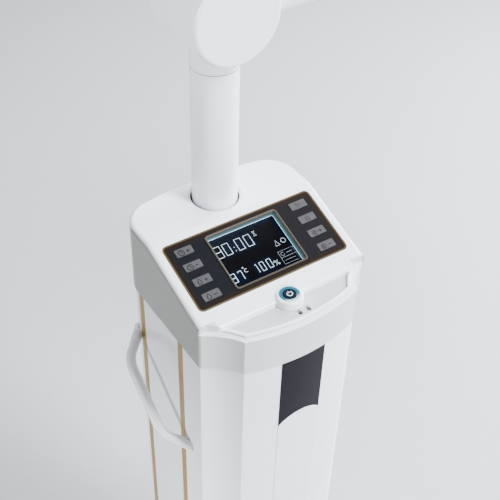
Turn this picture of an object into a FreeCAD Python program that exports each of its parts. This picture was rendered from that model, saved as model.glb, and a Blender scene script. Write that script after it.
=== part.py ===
import FreeCAD, Part
import math
import os

# Light-therapy machine: a wheeled column with a sloped control head, a mast, a jointed arm
# and a lamp with two folding wings.
# Millimetres. +X is to the right, +Y to the back, +Z up; the origin is on the floor under the
# middle of the column.

V = FreeCAD.Vector

# ---- Driving dimensions -------------------------------------------------------------------

# Outline shared by the head and the column, seen from above (half of it; the rest is mirrored)
HEAD_HALF = 103.0               # half width across the flat sides
HEAD_BACK_Y = 108.5             # rearmost point of the bowed back
HEAD_FRONT_Y = -108.0           # foremost point of the bowed front
SIDE_REAR_Y = 68.0              # flat side from here ...
SIDE_FRONT_Y = -65.0            # ... to here
REAR_CORNER = (92.0, 91.5)      # middle of the rounded rear corner
BACK_START = (68.0, 102.6)      # where the rear corner meets the bowed back
SCOOP_MID = (85.0, -77.0)       # middle of the hollow front corner
BOW_CORNER = (69.0, -96.5)      # edge between the hollow corner and the bowed front

# Control head
HEAD_RIM_Z = 806.5              # lower edge of the head
HEAD_TOP_Z = 895.3              # flat top behind the keypad
HEAD_WALL = 3.0
HEAD_EDGE_R = 6.0               # rounding of the upper edges
PANEL_TILT = 18.0               # slope of the keypad panel in degrees
PANEL_Y = -12.0                 # middle of the keypad
PANEL_Z = 880.0
LEDGE_Z = 853.0                 # narrow ledge above the front face
LEDGE_WIDTH = 5.5
LEDGE_REAR_Y = -64.5
LIP_Z = 856.6                   # raised lip round the tray
LIP_WIDTH = 4.0
TRAY_Z = 854.0                  # floor of the tray with the power button
TRAY_BACK_Y = -72.5
TRAY_HALF = 82.5
RIDGE_R = 2.0                   # rounding of the ridge behind the tray
LIP_R = 1.0

# Keypad, display and power button
OVERLAY_SIZE = (184.0, 83.0)
OVERLAY_RADIUS = 6.0
OVERLAY_THICK = 0.8
POCKET_DEPTH = 0.7
KEY_SIZE = (20.0, 9.3)
KEY_X = 71.3
KEY_PITCH = 18.74
KEY_COUNT = 4
KEY_GAP = 0.35
LCD_BEZEL = (89.0, 69.0)
LCD_WINDOW = (85.0, 65.0)
LCD_SLEEVE = (86.6, 66.6)       # walls of the well that leads down to the glass
LCD_GLASS_W = -8.5              # upper face of the glass below the panel surface
LCD_BODY = (84.4, 64.4)
SWITCH_TOP_W = -8.7
KEY_STEM_W = -8.1
BOARD_TOP_W = -14.0
BUTTON_Y = -73.0
BUTTON_TOP_Z = 864.0
BOSS_FOOT_R = 15.4
BOSS_R = 14.4
BOSS_EDGE_R = 2.2
RING_R = 11.0
CAP_R = 7.3
BUTTON_STEM_R = 3.0
POST_R = 3.0
INDICATORS = ((0.0, -92.8), (10.8, -92.5))
INDICATOR_R = 1.5

# Column
COLUMN_INSET = 2.5              # column stands in from the head outline
COLUMN_WALL = 2.5
COLUMN_TOP_Z = 812.5
RECESS = 1.2                    # depth of the grooves for trims and strips
STRIP_HALF = 27.0
STRIP_PROUD = 0.8
STRIP_ARC_TOP_Z = 714.5
STRIP_ARC_END_Z = 701.0
TRIM_SPANS = ((-27.5, -17.5), (56.5, 66.0))
TRIM_PROUD = 0.6
TRIM_TOP_Z = 806.2

# Service cover, mains inlet and the pieces inside the column
COVER_SPAN = (250.0, 560.0)     # from and to this height
COVER_HALF = 55.0
COVER_PROUD = 1.5
HATCH_MARGIN = 14.0             # the column's opening stands in from the cover's edge
VENT_FIRST_Z = 300.0
VENT_PITCH = 12.0
VENT_COUNT = 8
VENT_SIZE = (60.0, 5.0)
SCREW_X = 49.0
SCREW_Z = (258.0, 405.0, 552.0)
SCREW_SEAT_Y = 103.8
SCREW_HOLE_R = 1.7
INLET_Z = 190.0
INLET_FLANGE = (64.0, 50.0)
INLET_CUTOUT = (54.0, 40.0)
INLET_BODY = (28.0, 21.0)
INLET_WELL = (24.2, 16.6)
INLET_SEAT_Y = 104.4
INLET_THICK = 2.5
BLADES = ((-7.0, -3.5), (7.0, -3.5), (0.0, 0.5))    # (x, z) from the middle of the well
BRACKET_Z = 798.0
BRACKET_THICK = 4.0
SUPPLY_SIZE = (110.0, 80.0)
SUPPLY_HEIGHT = 165.0

# Side handles
HANDLE_R = 5.75
HANDLE_OUT = 26.0               # centre of the grip from the wall
HANDLE_REAR = (73.6, 738.0)     # (y, z) of the upper foot
HANDLE_FRONT = (-40.4, 645.5)   # (y, z) of the lower foot
HANDLE_LEG = 28.0               # run of each slanting leg along the handle
HANDLE_BEND_R = 30.0
HANDLE_FOOT_R = 6.4

# Base and casters
BASE_SIZE = (430.0, 450.0)
BASE_CORNER_R = 70.0
BASE_BOTTOM_Z = 72.0
BASE_SKIRT_Z = 112.0
BASE_CROWN = (252.0, 262.0)
BASE_CROWN_R = 48.0
BASE_CROWN_Z = 138.0
PLATE_Z = 80.0                  # underside of the steel base plate
PLATE_THICK = 8.0
CASTER_X = 155.0
CASTER_Y = 165.0
CASTER_TRAIL = 22.0
KINGPIN_R = 6.0
KINGPIN_END_Z = 66.5
FORK_TOP_Z = 79.6
FORK_CROWN_R = 24.0
FORK_LEG_X = 14.5
FORK_LEG_THICK = 3.0
WHEEL_R = 30.0
WHEEL_HALF = 10.0
WHEEL_HUB_R = 9.0
WHEEL_WEB_R = 21.0
TREAD_EDGE = 3.0
WHEEL_AXLE_R = 4.0
PEDAL_PIVOT = (30.0, 66.0)      # (y, z) from the kingpin
PEDAL_PIN_R = 2.5

# Mast, elbow and arm
MAST_Y = 70.0
MAST_R = 25.0
MAST_WALL = 2.5
MAST_FOOT_Z = 690.0
SEAM_Z = 1058.0                 # turning seam between mast and elbow
SEAM_GAP = 0.4
NECK_FLOOR_Z = 1084.0           # flat inside the elbow under the spindle's nut
ELBOW_Z = 1121.5
DRUM_R = 46.5
DRUM_HALF = 37.3
DRUM_WALL = 4.5
CAP_THICK = 5.5
CAP_EDGE_R = 3.5
AXLE_R = 8.0
RUN_FIT = 0.06                  # radial clearance of a turning fit
SEAT_FIT = 0.03                 # radial clearance of a seated fit
TILT_MAX = 35.0                 # the arm lifts from level to this angle
ARM_LENGTH = 620.0              # elbow axis to wrist axis
WRIST_R = 38.0
WRIST_HALF = 30.0
WRIST_EDGE = 1.5
YOKE_GAP = 0.4
YOKE_CHEEK = 8.0
YOKE_DROP = 74.0                # underside of the yoke's beam below the axis
YOKE_HALF = 26.0
SPINDLE_R = 14.0
AXLE_HEAD = (14.0, 4.0)         # radius and height of the wrist axle's heads

# Lamp
LAMP_TOP_Z = 1003.5
LAMP_THICK = 26.0
LAMP_LENGTH = 320.0             # along the arm
CENTRE_WIDTH = 150.0
WING_WIDTH = 130.0
LAMP_CORNER_R = 18.0
LAMP_EDGE_R = 7.0
LAMP_WALL = 3.0
HUB_R = 30.0
HUB_HEIGHT = 8.0
HINGE_R = 6.5
HINGE_GAP = 0.5
HINGE_X = CENTRE_WIDTH / 2 + HINGE_R + HINGE_GAP    # hinge axis from the lamp's middle
HINGE_Z = HINGE_R - LAMP_THICK                      # and from its top
BODY_SPANS = ((-135.0, -105.0), (105.0, 135.0))     # hinge barrels of the middle shell
WING_SPANS = ((-104.4, -74.4), (74.4, 104.4))       # and of the wings
PIN_R = 2.5
WING_REST = 20.0                # the wings hang this far below level at rest
LED_ROWS = 8
LED_SIZE = 5.0
LED_DEPTH = 8.5                 # upper face of the boards above the lamp's lower edge

PANEL_SLOPE = math.tan(math.radians(PANEL_TILT))


# ---- Small shape helpers ------------------------------------------------------------------

def block(x0, x1, y0, y1, z0, z1):
    """Box between two corners."""
    return Part.makeBox(x1 - x0, y1 - y0, z1 - z0, V(x0, y0, z0))


def rod(radius, start, end):
    """Cylinder from one point to another."""
    axis = V(*end) - V(*start)
    return Part.makeCylinder(radius, axis.Length, V(*start), axis)


def arc(first, middle, last):
    return Part.Arc(first, middle, last).toShape()


def outline(inset, z):
    """Head and column outline, stepped in by inset, at height z."""
    def at(point, side):
        return V(side * point[0], point[1], z)

    side_rear = (HEAD_HALF, SIDE_REAR_Y)
    side_front = (HEAD_HALF, SIDE_FRONT_Y)
    edges = [
        Part.makeLine(at(side_rear, -1), at(side_front, -1)),
        arc(at(side_front, -1), at(SCOOP_MID, -1), at(BOW_CORNER, -1)),
        arc(at(BOW_CORNER, -1), V(0, HEAD_FRONT_Y, z), at(BOW_CORNER, 1)),
        arc(at(BOW_CORNER, 1), at(SCOOP_MID, 1), at(side_front, 1)),
        Part.makeLine(at(side_front, 1), at(side_rear, 1)),
        arc(at(side_rear, 1), at(REAR_CORNER, 1), at(BACK_START, 1)),
        arc(at(BACK_START, 1), V(0, HEAD_BACK_Y, z), at(BACK_START, -1)),
        arc(at(BACK_START, -1), at(REAR_CORNER, -1), at(side_rear, -1)),
    ]
    wire = Part.Wire(edges)
    return wire.makeOffset2D(-inset) if inset else wire


def column_prism(inset, z0, z1):
    """Solid with the shared outline between two heights."""
    return Part.Face(outline(inset, z0)).extrude(V(0, 0, z1 - z0))


def profile_prism(points, half):
    """Prism along X with the (y, z) corners given."""
    corners = [V(-half, y, z) for y, z in points]
    face = Part.Face(Part.makePolygon(corners + corners[:1]))
    return face.extrude(V(2 * half, 0, 0))


def rounded_slab(size, radius, z0, z1, x=0.0, y=0.0):
    """Plate with rounded corners, centred on x and y."""
    half_x = size[0] / 2
    half_y = size[1] / 2
    slab = block(x - half_x, x + half_x, y - half_y, y + half_y, z0, z1)
    upright = [e for e in slab.Edges if abs(e.tangentAt(e.FirstParameter).z) > 0.9]
    return slab.makeFillet(radius, upright)


def rounded_wire(size, radius, z):
    """Outline of a rounded rectangle at height z."""
    slab = rounded_slab(size, radius, z, z + 1)
    bottom = min(slab.Faces, key=lambda face: face.CenterOfMass.z)
    return bottom.OuterWire


def on_panel(shape):
    """Move a shape from flat keypad coordinates onto the sloped panel."""
    placed = shape.copy()
    placed.rotate(V(0, 0, 0), V(1, 0, 0), PANEL_TILT)
    placed.translate(V(0, PANEL_Y, PANEL_Z))
    return placed


def panel_z(y, below=0.0):
    """Height of the panel plane, or of a plane that far below it."""
    drop = below / math.cos(math.radians(PANEL_TILT))
    return PANEL_Z + (y - PANEL_Y) * PANEL_SLOPE - drop


def edges_in_plane(solid, axis, value):
    """Edges that lie where the coordinate along the axis (X, Y or Z) has the value."""
    found = []
    for edge in solid.Edges:
        low = getattr(edge.BoundBox, axis + "Min")
        high = getattr(edge.BoundBox, axis + "Max")
        if max(abs(low - value), abs(high - value)) < 0.01:
            found.append(edge)
    return found


def fused(first, *others):
    return first.fuse(list(others)).removeSplitter()


# ---- Control head -------------------------------------------------------------------------

def above_panel(below, tray_top, tray_back):
    """Everything above the sloped panel, or above a surface parallel to it."""
    top = HEAD_TOP_Z - below
    drop = below / math.cos(math.radians(PANEL_TILT))
    crest_y = PANEL_Y + (top + drop - PANEL_Z) / PANEL_SLOPE
    far = HEAD_FRONT_Y - 20
    lid = HEAD_TOP_Z + 20
    points = [(crest_y, top), (tray_back, panel_z(tray_back, below)), (tray_back, tray_top),
              (far, tray_top), (far, lid), (crest_y, lid)]
    return profile_prism(points, HEAD_HALF + 20)


def rounded_top(solid):
    """Round the upper edges that run along the outline."""
    rim = outline(0, 0)
    edges = []
    for edge in solid.Edges:
        middle = edge.valueAt((edge.FirstParameter + edge.LastParameter) / 2)
        foot = Part.Vertex(middle.x, middle.y, 0)
        upright = abs(edge.tangentAt(edge.FirstParameter).z) > 0.9
        if middle.z > LIP_Z and not upright and foot.distToShape(rim)[0] < 0.05:
            edges.append(edge)
    return solid.makeFillet(HEAD_EDGE_R, edges)


def button_rod(radius, low, high):
    """Upright round rod on the axis of the power button."""
    return rod(radius, (0, BUTTON_Y, low), (0, BUTTON_Y, high))


def soft_tray(shell):
    """Round the ridge behind the tray, then the lip round it."""
    ridge_z = panel_z(TRAY_BACK_Y)
    ridge = [e for e in edges_in_plane(shell, "Z", ridge_z) if e.BoundBox.YLength < 0.01]
    shell = shell.makeFillet(RIDGE_R, ridge)
    return shell.makeFillet(LIP_R, edges_in_plane(shell, "Z", LIP_Z))


def head_shell():
    """Moulded head: sloped panel, button tray with its lip, ledge, mast hole."""
    far = HEAD_HALF + 20
    shell = column_prism(0, HEAD_RIM_Z, HEAD_TOP_Z)
    shell = shell.cut(above_panel(0, LIP_Z, TRAY_BACK_Y))
    ledge = block(-far, far, HEAD_FRONT_Y - 20, LEDGE_REAR_Y, LEDGE_Z, HEAD_TOP_Z)
    shell = shell.cut(ledge.cut(column_prism(LEDGE_WIDTH, LEDGE_Z, HEAD_TOP_Z)))
    shell = rounded_top(shell)
    tray = block(-TRAY_HALF, TRAY_HALF, HEAD_FRONT_Y, TRAY_BACK_Y, TRAY_Z, HEAD_TOP_Z)
    shell = shell.cut(tray.common(column_prism(LEDGE_WIDTH + LIP_WIDTH, TRAY_Z, HEAD_TOP_Z)))

    hollow = column_prism(HEAD_WALL, HEAD_RIM_Z - 1, HEAD_TOP_Z - HEAD_WALL)
    ceiling = TRAY_Z - HEAD_WALL
    hollow = hollow.cut(above_panel(HEAD_WALL, ceiling, LEDGE_REAR_Y + HEAD_WALL))
    lower_lip = column_prism(COLUMN_INSET - 0.1, HEAD_RIM_Z - 1, COLUMN_TOP_Z)
    shell = shell.cut([hollow, lower_lip])

    foot = V(0, BUTTON_Y, ceiling)
    boss = Part.makeCone(BOSS_FOOT_R, BOSS_R, BUTTON_TOP_Z - ceiling, foot)
    boss = boss.makeFillet(BOSS_EDGE_R, edges_in_plane(boss, "Z", BUTTON_TOP_Z))
    posts = [rod(POST_R, (x, y, BOARD_TOP_W), (x, y, -HEAD_WALL + 0.2))
             for x in (-86, 86) for y in (-36, 36)]
    shell = fused(shell, boss, *[on_panel(post) for post in posts])

    mast_hole = rod(MAST_R + 2, (0, MAST_Y, HEAD_TOP_Z - 10), (0, MAST_Y, HEAD_TOP_Z + 1))
    mast_step = rod(MAST_R + 4, (0, MAST_Y, HEAD_TOP_Z - 1), (0, MAST_Y, HEAD_TOP_Z + 1))
    button_hole = button_rod(RING_R + 0.1, ceiling - 1, BUTTON_TOP_Z + 1)
    openings = [mast_hole, mast_step, button_hole]
    openings += [rod(INDICATOR_R, (x, y, ceiling - 1), (x, y, TRAY_Z + 1)) for x, y in INDICATORS]

    pocket_size = (OVERLAY_SIZE[0] + 0.4, OVERLAY_SIZE[1] + 0.4)
    pocket = rounded_slab(pocket_size, OVERLAY_RADIUS, -POCKET_DEPTH, 5)
    lcd_size = (LCD_SLEEVE[0] + 0.4, LCD_SLEEVE[1] + 0.4)
    lcd_hole = rounded_slab(lcd_size, 3, -10, 1)
    key_slot = (KEY_SIZE[0] + 2.6, KEY_PITCH * (KEY_COUNT - 1) + KEY_SIZE[1] + 2.6)
    slots = [rounded_slab(key_slot, 2, -10, 1, x) for x in (-KEY_X, KEY_X)]
    openings += [on_panel(shape) for shape in [pocket, lcd_hole] + slots]
    return soft_tray(shell.cut(openings))


def key_places():
    """Name and keypad position of each key, top to bottom, left then right."""
    for side, x in (("left", -KEY_X), ("right", KEY_X)):
        for row in range(KEY_COUNT):
            yield f"key_{side}_{row + 1}", x, KEY_PITCH * ((KEY_COUNT - 1) / 2 - row)


def keypad_overlay():
    """Printed sheet with windows for the display and the keys."""
    sheet = rounded_slab(OVERLAY_SIZE, OVERLAY_RADIUS, -POCKET_DEPTH, OVERLAY_THICK - POCKET_DEPTH)
    size = (LCD_BEZEL[0] + 0.3, LCD_BEZEL[1] + 0.3)
    windows = [rounded_slab(size, 4, -2, 2)]
    size = (KEY_SIZE[0] + 2 * KEY_GAP, KEY_SIZE[1] + 2 * KEY_GAP)
    windows += [rounded_slab(size, 1.2, -2, 2, x, y) for _, x, y in key_places()]
    return on_panel(sheet.cut(windows))


def key_cap(x, y):
    """Key with a flange under the overlay and a stem above its switch."""
    cap = rounded_slab(KEY_SIZE, 1.0, -0.8, 0.5, x, y)
    flange = rounded_slab((KEY_SIZE[0] + 1.6, KEY_SIZE[1] + 1.6), 1.0, -1.6, -0.75, x, y)
    stem = rod(2.5, (x, y, KEY_STEM_W), (x, y, -1.6))
    return on_panel(fused(cap, flange, stem))


def lcd_bezel():
    """Frame round the display on the pocket floor, with the well that reaches the glass."""
    rim = rounded_slab(LCD_BEZEL, 4, -POCKET_DEPTH, 1.0)
    sleeve = rounded_slab(LCD_SLEEVE, 2.8, LCD_GLASS_W, 0)
    frame = fused(rim, sleeve).cut(rounded_slab(LCD_WINDOW, 2, LCD_GLASS_W - 1, 2))
    inner_top = [e for e in frame.Edges
                 if e.BoundBox.ZMin > 0.9 and abs(e.CenterOfMass.x) < LCD_WINDOW[0] / 2 + 0.1
                 and abs(e.CenterOfMass.y) < LCD_WINDOW[1] / 2 + 0.1]
    return on_panel(frame.makeChamfer(0.8, inner_top))


def lcd_module():
    """Display glass and its backlight, standing on the control board."""
    back = LCD_GLASS_W - 2
    glass = rounded_slab(LCD_SLEEVE, 2.8, back, LCD_GLASS_W)
    backlight = rounded_slab(LCD_BODY, 1.5, BOARD_TOP_W, back)
    return on_panel(fused(glass, backlight))


def control_board():
    """Circuit board with one small switch under each key."""
    board = rounded_slab((180, 79), 3, BOARD_TOP_W - 1.6, BOARD_TOP_W)
    switches = [block(x - 3, x + 3, y - 3, y + 3, BOARD_TOP_W - 0.1, SWITCH_TOP_W)
                for _, x, y in key_places()]
    return on_panel(fused(board, *switches))


def button_ring():
    """Lit ring and body of the power switch, held by its collar under the boss."""
    ceiling = TRAY_Z - HEAD_WALL
    ring = button_rod(RING_R, ceiling - 1, BUTTON_TOP_Z + 0.3)
    collar = button_rod(13.5, ceiling - 5, ceiling)
    body = button_rod(9.0, ceiling - 18, ceiling - 5)
    well = button_rod(CAP_R + 0.35, ceiling + 4, BUTTON_TOP_Z + 1)
    guide = button_rod(BUTTON_STEM_R + 0.3, ceiling - 8, ceiling + 5)
    return fused(ring, collar, body).cut([well, guide])


def power_button():
    """Push cap with its stem."""
    cap = button_rod(CAP_R, TRAY_Z + 3, BUTTON_TOP_Z + 0.8)
    cap = cap.makeChamfer(0.5, edges_in_plane(cap, "Z", BUTTON_TOP_Z + 0.8))
    stem = button_rod(BUTTON_STEM_R, TRAY_Z - 8.5, TRAY_Z + 3.5)
    return fused(cap, stem)


def indicator_lights():
    """Two small indicator lamps in the tray floor."""
    lamps = [rod(INDICATOR_R - 0.05, (x, y, TRAY_Z - 6), (x, y, TRAY_Z + 0.3))
             for x, y in INDICATORS]
    return Part.Compound(lamps)


# ---- Column -------------------------------------------------------------------------------

def strip_band(inset_out, inset_in, half, z0, z1):
    """Curved strip of the front wall between two insets."""
    ring = column_prism(inset_out, z0, z1).cut(column_prism(inset_in, z0, z1))
    return ring.common(block(-half, half, HEAD_FRONT_Y - 1, -50, z0, z1))


def strip_arch(rise):
    """Everything above the arched edge that parts the dark strip from the white one."""
    y = HEAD_FRONT_Y - 5
    top = V(0, y, STRIP_ARC_TOP_Z + rise)
    left = V(-STRIP_HALF - 0.5, y, STRIP_ARC_END_Z + rise)
    right = V(STRIP_HALF + 0.5, y, STRIP_ARC_END_Z + rise)
    lid = V(0, 0, HEAD_RIM_Z - STRIP_ARC_END_Z + 20)
    wire = Part.Wire([arc(left, top, right), Part.makeLine(right, right + lid),
                      Part.makeLine(right + lid, left + lid), Part.makeLine(left + lid, left)])
    return Part.Face(wire).extrude(V(0, 60, 0))


def front_strips():
    """Dark strip below the head and the long white strip under it."""
    seat = COLUMN_INSET + RECESS
    strip = strip_band(COLUMN_INSET - STRIP_PROUD, seat, STRIP_HALF, BASE_CROWN_Z + 1, TRIM_TOP_Z)
    return strip.common(strip_arch(0.15)), strip.cut(strip_arch(-0.15))


def cover_screw_rods(radius, y0, y1):
    """One cylinder at each screw of the service cover."""
    return [rod(radius, (x, y0, z), (x, y1, z)) for x in (-SCREW_X, SCREW_X) for z in SCREW_Z]


def inlet_block(size, y0, y1, margin=0.0):
    """Box centred on the mains inlet, a little larger by the margin."""
    half_x = size[0] / 2 + margin
    half_z = size[1] / 2 + margin
    return block(-half_x, half_x, y0, y1, INLET_Z - half_z, INLET_Z + half_z)


def column_shell():
    """Hollow column with grooves for the strips and trims, and its rear openings."""
    shell = column_prism(COLUMN_INSET, PLATE_Z + PLATE_THICK, COLUMN_TOP_Z)
    shell = shell.cut(column_prism(COLUMN_INSET + COLUMN_WALL, PLATE_Z, COLUMN_TOP_Z + 1))
    low = PLATE_Z
    groove = strip_band(0, COLUMN_INSET + RECESS, STRIP_HALF + 0.1, low, COLUMN_TOP_Z + 1)
    cuts = [groove]
    wall_x = HEAD_HALF - COLUMN_INSET
    for side in (-1, 1):
        xs = sorted((side * (wall_x - RECESS), side * (wall_x + 1)))
        cuts.append(block(*xs, TRIM_SPANS[0][0], TRIM_SPANS[1][1], low, COLUMN_TOP_Z + 1))
    hatch_half = COVER_HALF - HATCH_MARGIN + 1
    hatch_z = (COVER_SPAN[0] + HATCH_MARGIN, COVER_SPAN[1] - HATCH_MARGIN)
    cuts.append(block(-hatch_half, hatch_half, 80, 120, *hatch_z))
    cuts += cover_screw_rods(SCREW_HOLE_R, 90, 115)
    cuts.append(inlet_block(INLET_CUTOUT, 90, 120))
    cuts.append(inlet_block(INLET_FLANGE, INLET_SEAT_Y, 120, 0.2))
    return shell.cut(cuts)


def side_insets():
    """Glossy panel between the gold trims, one on each side."""
    x0 = HEAD_HALF - COLUMN_INSET - RECESS
    x1 = HEAD_HALF - COLUMN_INSET + 0.1
    y0 = TRIM_SPANS[0][1] + 0.1
    y1 = TRIM_SPANS[1][0] - 0.1
    right = block(x0, x1, y0, y1, BASE_CROWN_Z + 1, TRIM_TOP_Z)
    return Part.Compound([right, right.mirror(V(0, 0, 0), V(1, 0, 0))])


def gold_trims():
    """Four slim anodised mouldings with rounded outer edges."""
    x0 = HEAD_HALF - COLUMN_INSET - RECESS
    x1 = HEAD_HALF - COLUMN_INSET + TRIM_PROUD
    trims = []
    for y0, y1 in TRIM_SPANS:
        strip = block(x0, x1, y0, y1, BASE_CROWN_Z + 1, TRIM_TOP_Z)
        outer = [e for e in strip.Edges if e.BoundBox.XMin > x1 - 0.01
                 and e.BoundBox.ZLength > 10]
        strip = strip.makeFillet(0.6, outer)
        trims += [strip, strip.mirror(V(0, 0, 0), V(1, 0, 0))]
    return Part.Compound(trims)


def handle(side):
    """Bent grip with slanting legs; its feet are cut to the column wall."""
    wall = side * (HEAD_HALF - COLUMN_INSET)
    out = V(side, 0, 0)
    upper = V(wall, *HANDLE_REAR)
    lower = V(wall, *HANDLE_FRONT)
    along = (lower - upper).normalize()
    start = upper - along * 4 - out * 4
    bend_a = upper + along * HANDLE_LEG + out * HANDLE_OUT
    bend_b = lower - along * HANDLE_LEG + out * HANDLE_OUT
    end = lower + along * 4 - out * 4
    path = rounded_path([start, bend_a, bend_b, end], HANDLE_BEND_R)
    profile = Part.Wire(Part.makeCircle(HANDLE_R, start, bend_a - start))
    grip = path.makePipeShell([profile], True, True)
    feet = [Part.makeCylinder(HANDLE_FOOT_R, 6, foot - out * 3, out) for foot in (upper, lower)]
    return fused(grip, *feet).cut(column_prism(COLUMN_INSET, 500, 800))


def rounded_path(points, radius):
    """Wire through the points with an arc of the radius at each bend."""
    edges = []
    last = points[0]
    for before, corner, after in zip(points, points[1:], points[2:]):
        inward = (before - corner).normalize()
        onward = (after - corner).normalize()
        half_turn = inward.getAngle(onward) / 2
        reach = radius / math.tan(half_turn)
        middle = (inward + onward).normalize()
        centre = corner + middle * (radius / math.sin(half_turn))
        first = corner + inward * reach
        final = corner + onward * reach
        edges.append(Part.makeLine(last, first))
        edges.append(arc(first, centre - middle * radius, final))
        last = final
    edges.append(Part.makeLine(last, points[-1]))
    return Part.Wire(edges)


def rear_cover():
    """Service cover bent to the back, with a field of vent slots."""
    outer = column_prism(COLUMN_INSET - COVER_PROUD, *COVER_SPAN)
    plate = outer.cut(column_prism(COLUMN_INSET, *COVER_SPAN))
    plate = plate.common(block(-COVER_HALF, COVER_HALF, 50, 120, *COVER_SPAN))
    half, height = VENT_SIZE[0] / 2, VENT_SIZE[1]
    slots = []
    for number in range(VENT_COUNT):
        z = VENT_FIRST_Z + number * VENT_PITCH
        slots.append(block(-half, half, 90, 120, z, z + height))
    holes = cover_screw_rods(SCREW_HOLE_R, 90, 115)
    seats = cover_screw_rods(3.8, SCREW_SEAT_Y, 115)
    return plate.cut(slots + holes + seats)


def cover_screws():
    """Pan-head screws of the service cover."""
    outer_y = SCREW_SEAT_Y + 2
    screws = []
    for head, shank in zip(cover_screw_rods(3.4, SCREW_SEAT_Y, outer_y),
                           cover_screw_rods(1.5, SCREW_SEAT_Y - 9, SCREW_SEAT_Y)):
        head = head.makeChamfer(0.7, edges_in_plane(head, "Y", outer_y))
        screws.append(fused(head, shank))
    return Part.Compound(screws)


def mains_inlet():
    """Appliance inlet on its plate, with three blades in its well."""
    flange_y = INLET_SEAT_Y + INLET_THICK
    flange = inlet_block(INLET_FLANGE, INLET_SEAT_Y, flange_y)
    flange = flange.makeChamfer(0.8, edges_in_plane(flange, "Y", flange_y))
    body = inlet_block(INLET_BODY, 80, flange_y - 1)
    well = inlet_block(INLET_WELL, 90, flange_y + 1)
    blades = []
    for x, dz in BLADES:
        z = INLET_Z + dz
        blades.append(block(x - 1, x + 1, 89, 104, z - 2, z + 2))
    return fused(fused(flange, body).cut(well), *blades)


def mast_bracket():
    """Cross plate in the column with the socket that holds the mast."""
    inset = COLUMN_INSET + COLUMN_WALL
    plate = column_prism(inset, BRACKET_Z, BRACKET_Z + BRACKET_THICK)
    socket = rod(MAST_R + 5, (0, MAST_Y, MAST_FOOT_Z - 5), (0, MAST_Y, BRACKET_Z + 0.5))
    bore = rod(MAST_R + SEAT_FIT, (0, MAST_Y, MAST_FOOT_Z), (0, MAST_Y, BRACKET_Z + 5))
    cable = rod(14, (0, MAST_Y, MAST_FOOT_Z - 6), (0, MAST_Y, MAST_FOOT_Z + 1))
    window = rounded_slab((120, 90), 15, BRACKET_Z - 8, BRACKET_Z + 12, 0, -30)
    trimmed = socket.common(column_prism(inset, MAST_FOOT_Z - 6, BRACKET_Z + 2))
    return fused(plate, trimmed).cut([bore, cable, window])


def power_supply():
    """Power supply standing on the base plate."""
    z0 = PLATE_Z + PLATE_THICK
    return rounded_slab(SUPPLY_SIZE, 3, z0, z0 + SUPPLY_HEIGHT, 0, -20)


# ---- Base and casters ---------------------------------------------------------------------

def base_cover():
    """Moulded cover: skirt, sloped crown and a collar round the column; it rests on the plate."""
    plate_top = PLATE_Z + PLATE_THICK
    skirt = rounded_slab(BASE_SIZE, BASE_CORNER_R, BASE_BOTTOM_Z, BASE_SKIRT_Z)
    crown = Part.makeLoft([rounded_wire(BASE_SIZE, BASE_CORNER_R, BASE_SKIRT_Z),
                           rounded_wire(BASE_CROWN, BASE_CROWN_R, BASE_CROWN_Z)], True, True)
    hollows = []
    for size, radius, z0, z1, wall in (
            (BASE_SIZE, BASE_CORNER_R, BASE_BOTTOM_Z - 1, plate_top, 3),
            (BASE_SIZE, BASE_CORNER_R, plate_top, BASE_SKIRT_Z - 4, 6),
            (BASE_CROWN, BASE_CROWN_R, plate_top, BASE_CROWN_Z - 5, 6)):
        inner = (size[0] - 2 * wall, size[1] - 2 * wall)
        hollows.append(rounded_slab(inner, radius - wall, z0, z1))
    opening = column_prism(COLUMN_INSET - 0.6, BASE_BOTTOM_Z, BASE_CROWN_Z + 5)
    return fused(skirt, crown).cut(hollows + [opening])


def caster_places():
    for name, x, y in (("front_left", -CASTER_X, -CASTER_Y), ("front_right", CASTER_X, -CASTER_Y),
                       ("rear_left", -CASTER_X, CASTER_Y), ("rear_right", CASTER_X, CASTER_Y)):
        yield name, x, y - CASTER_TRAIL / 2


def base_plate():
    """Steel plate that carries the column, with the four caster kingpins."""
    size = (BASE_SIZE[0] - 6.4, BASE_SIZE[1] - 6.4)
    plate = rounded_slab(size, BASE_CORNER_R - 3.2, PLATE_Z, PLATE_Z + PLATE_THICK)
    pins = []
    for _, x, y in caster_places():
        pins.append(rod(KINGPIN_R, (x, y, KINGPIN_END_Z), (x, y, PLATE_Z + 1)))
        pins.append(rod(KINGPIN_R + 3, (x, y, KINGPIN_END_Z), (x, y, KINGPIN_END_Z + 3.1)))
    return fused(plate, *pins)


def caster_fork(x, y):
    """Swivel fork: round crown, two leaning legs and the riveted wheel axle."""
    crown = rod(FORK_CROWN_R, (0, 0, KINGPIN_END_Z + 3.5), (0, 0, FORK_TOP_Z))
    bore = rod(KINGPIN_R + RUN_FIT, (0, 0, 60), (0, 0, FORK_TOP_Z + 1))
    half = FORK_LEG_THICK / 2
    leg = profile_prism([(-16, 76), (-16, 68), (13, 27), (31, 27), (36, 60), (36, 73),
                         (20, 76)], half)
    foot = rod(WHEEL_HUB_R, (-half, CASTER_TRAIL, WHEEL_R), (half, CASTER_TRAIL, WHEEL_R))
    leg = fused(leg, foot)
    legs = []
    for side in (-1, 1):
        placed = leg.copy()
        placed.translate(V(side * FORK_LEG_X, 0, 0))
        legs.append(placed)
    reach = FORK_LEG_X + FORK_LEG_THICK
    axle = rod(WHEEL_AXLE_R, (-reach, CASTER_TRAIL, WHEEL_R), (reach, CASTER_TRAIL, WHEEL_R))
    pivot = rod(PEDAL_PIN_R + RUN_FIT, (-20, *PEDAL_PIVOT), (20, *PEDAL_PIVOT))
    fork = fused(crown, axle, *legs).cut([bore, pivot])
    fork.translate(V(x, y, 0))
    return fork


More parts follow.
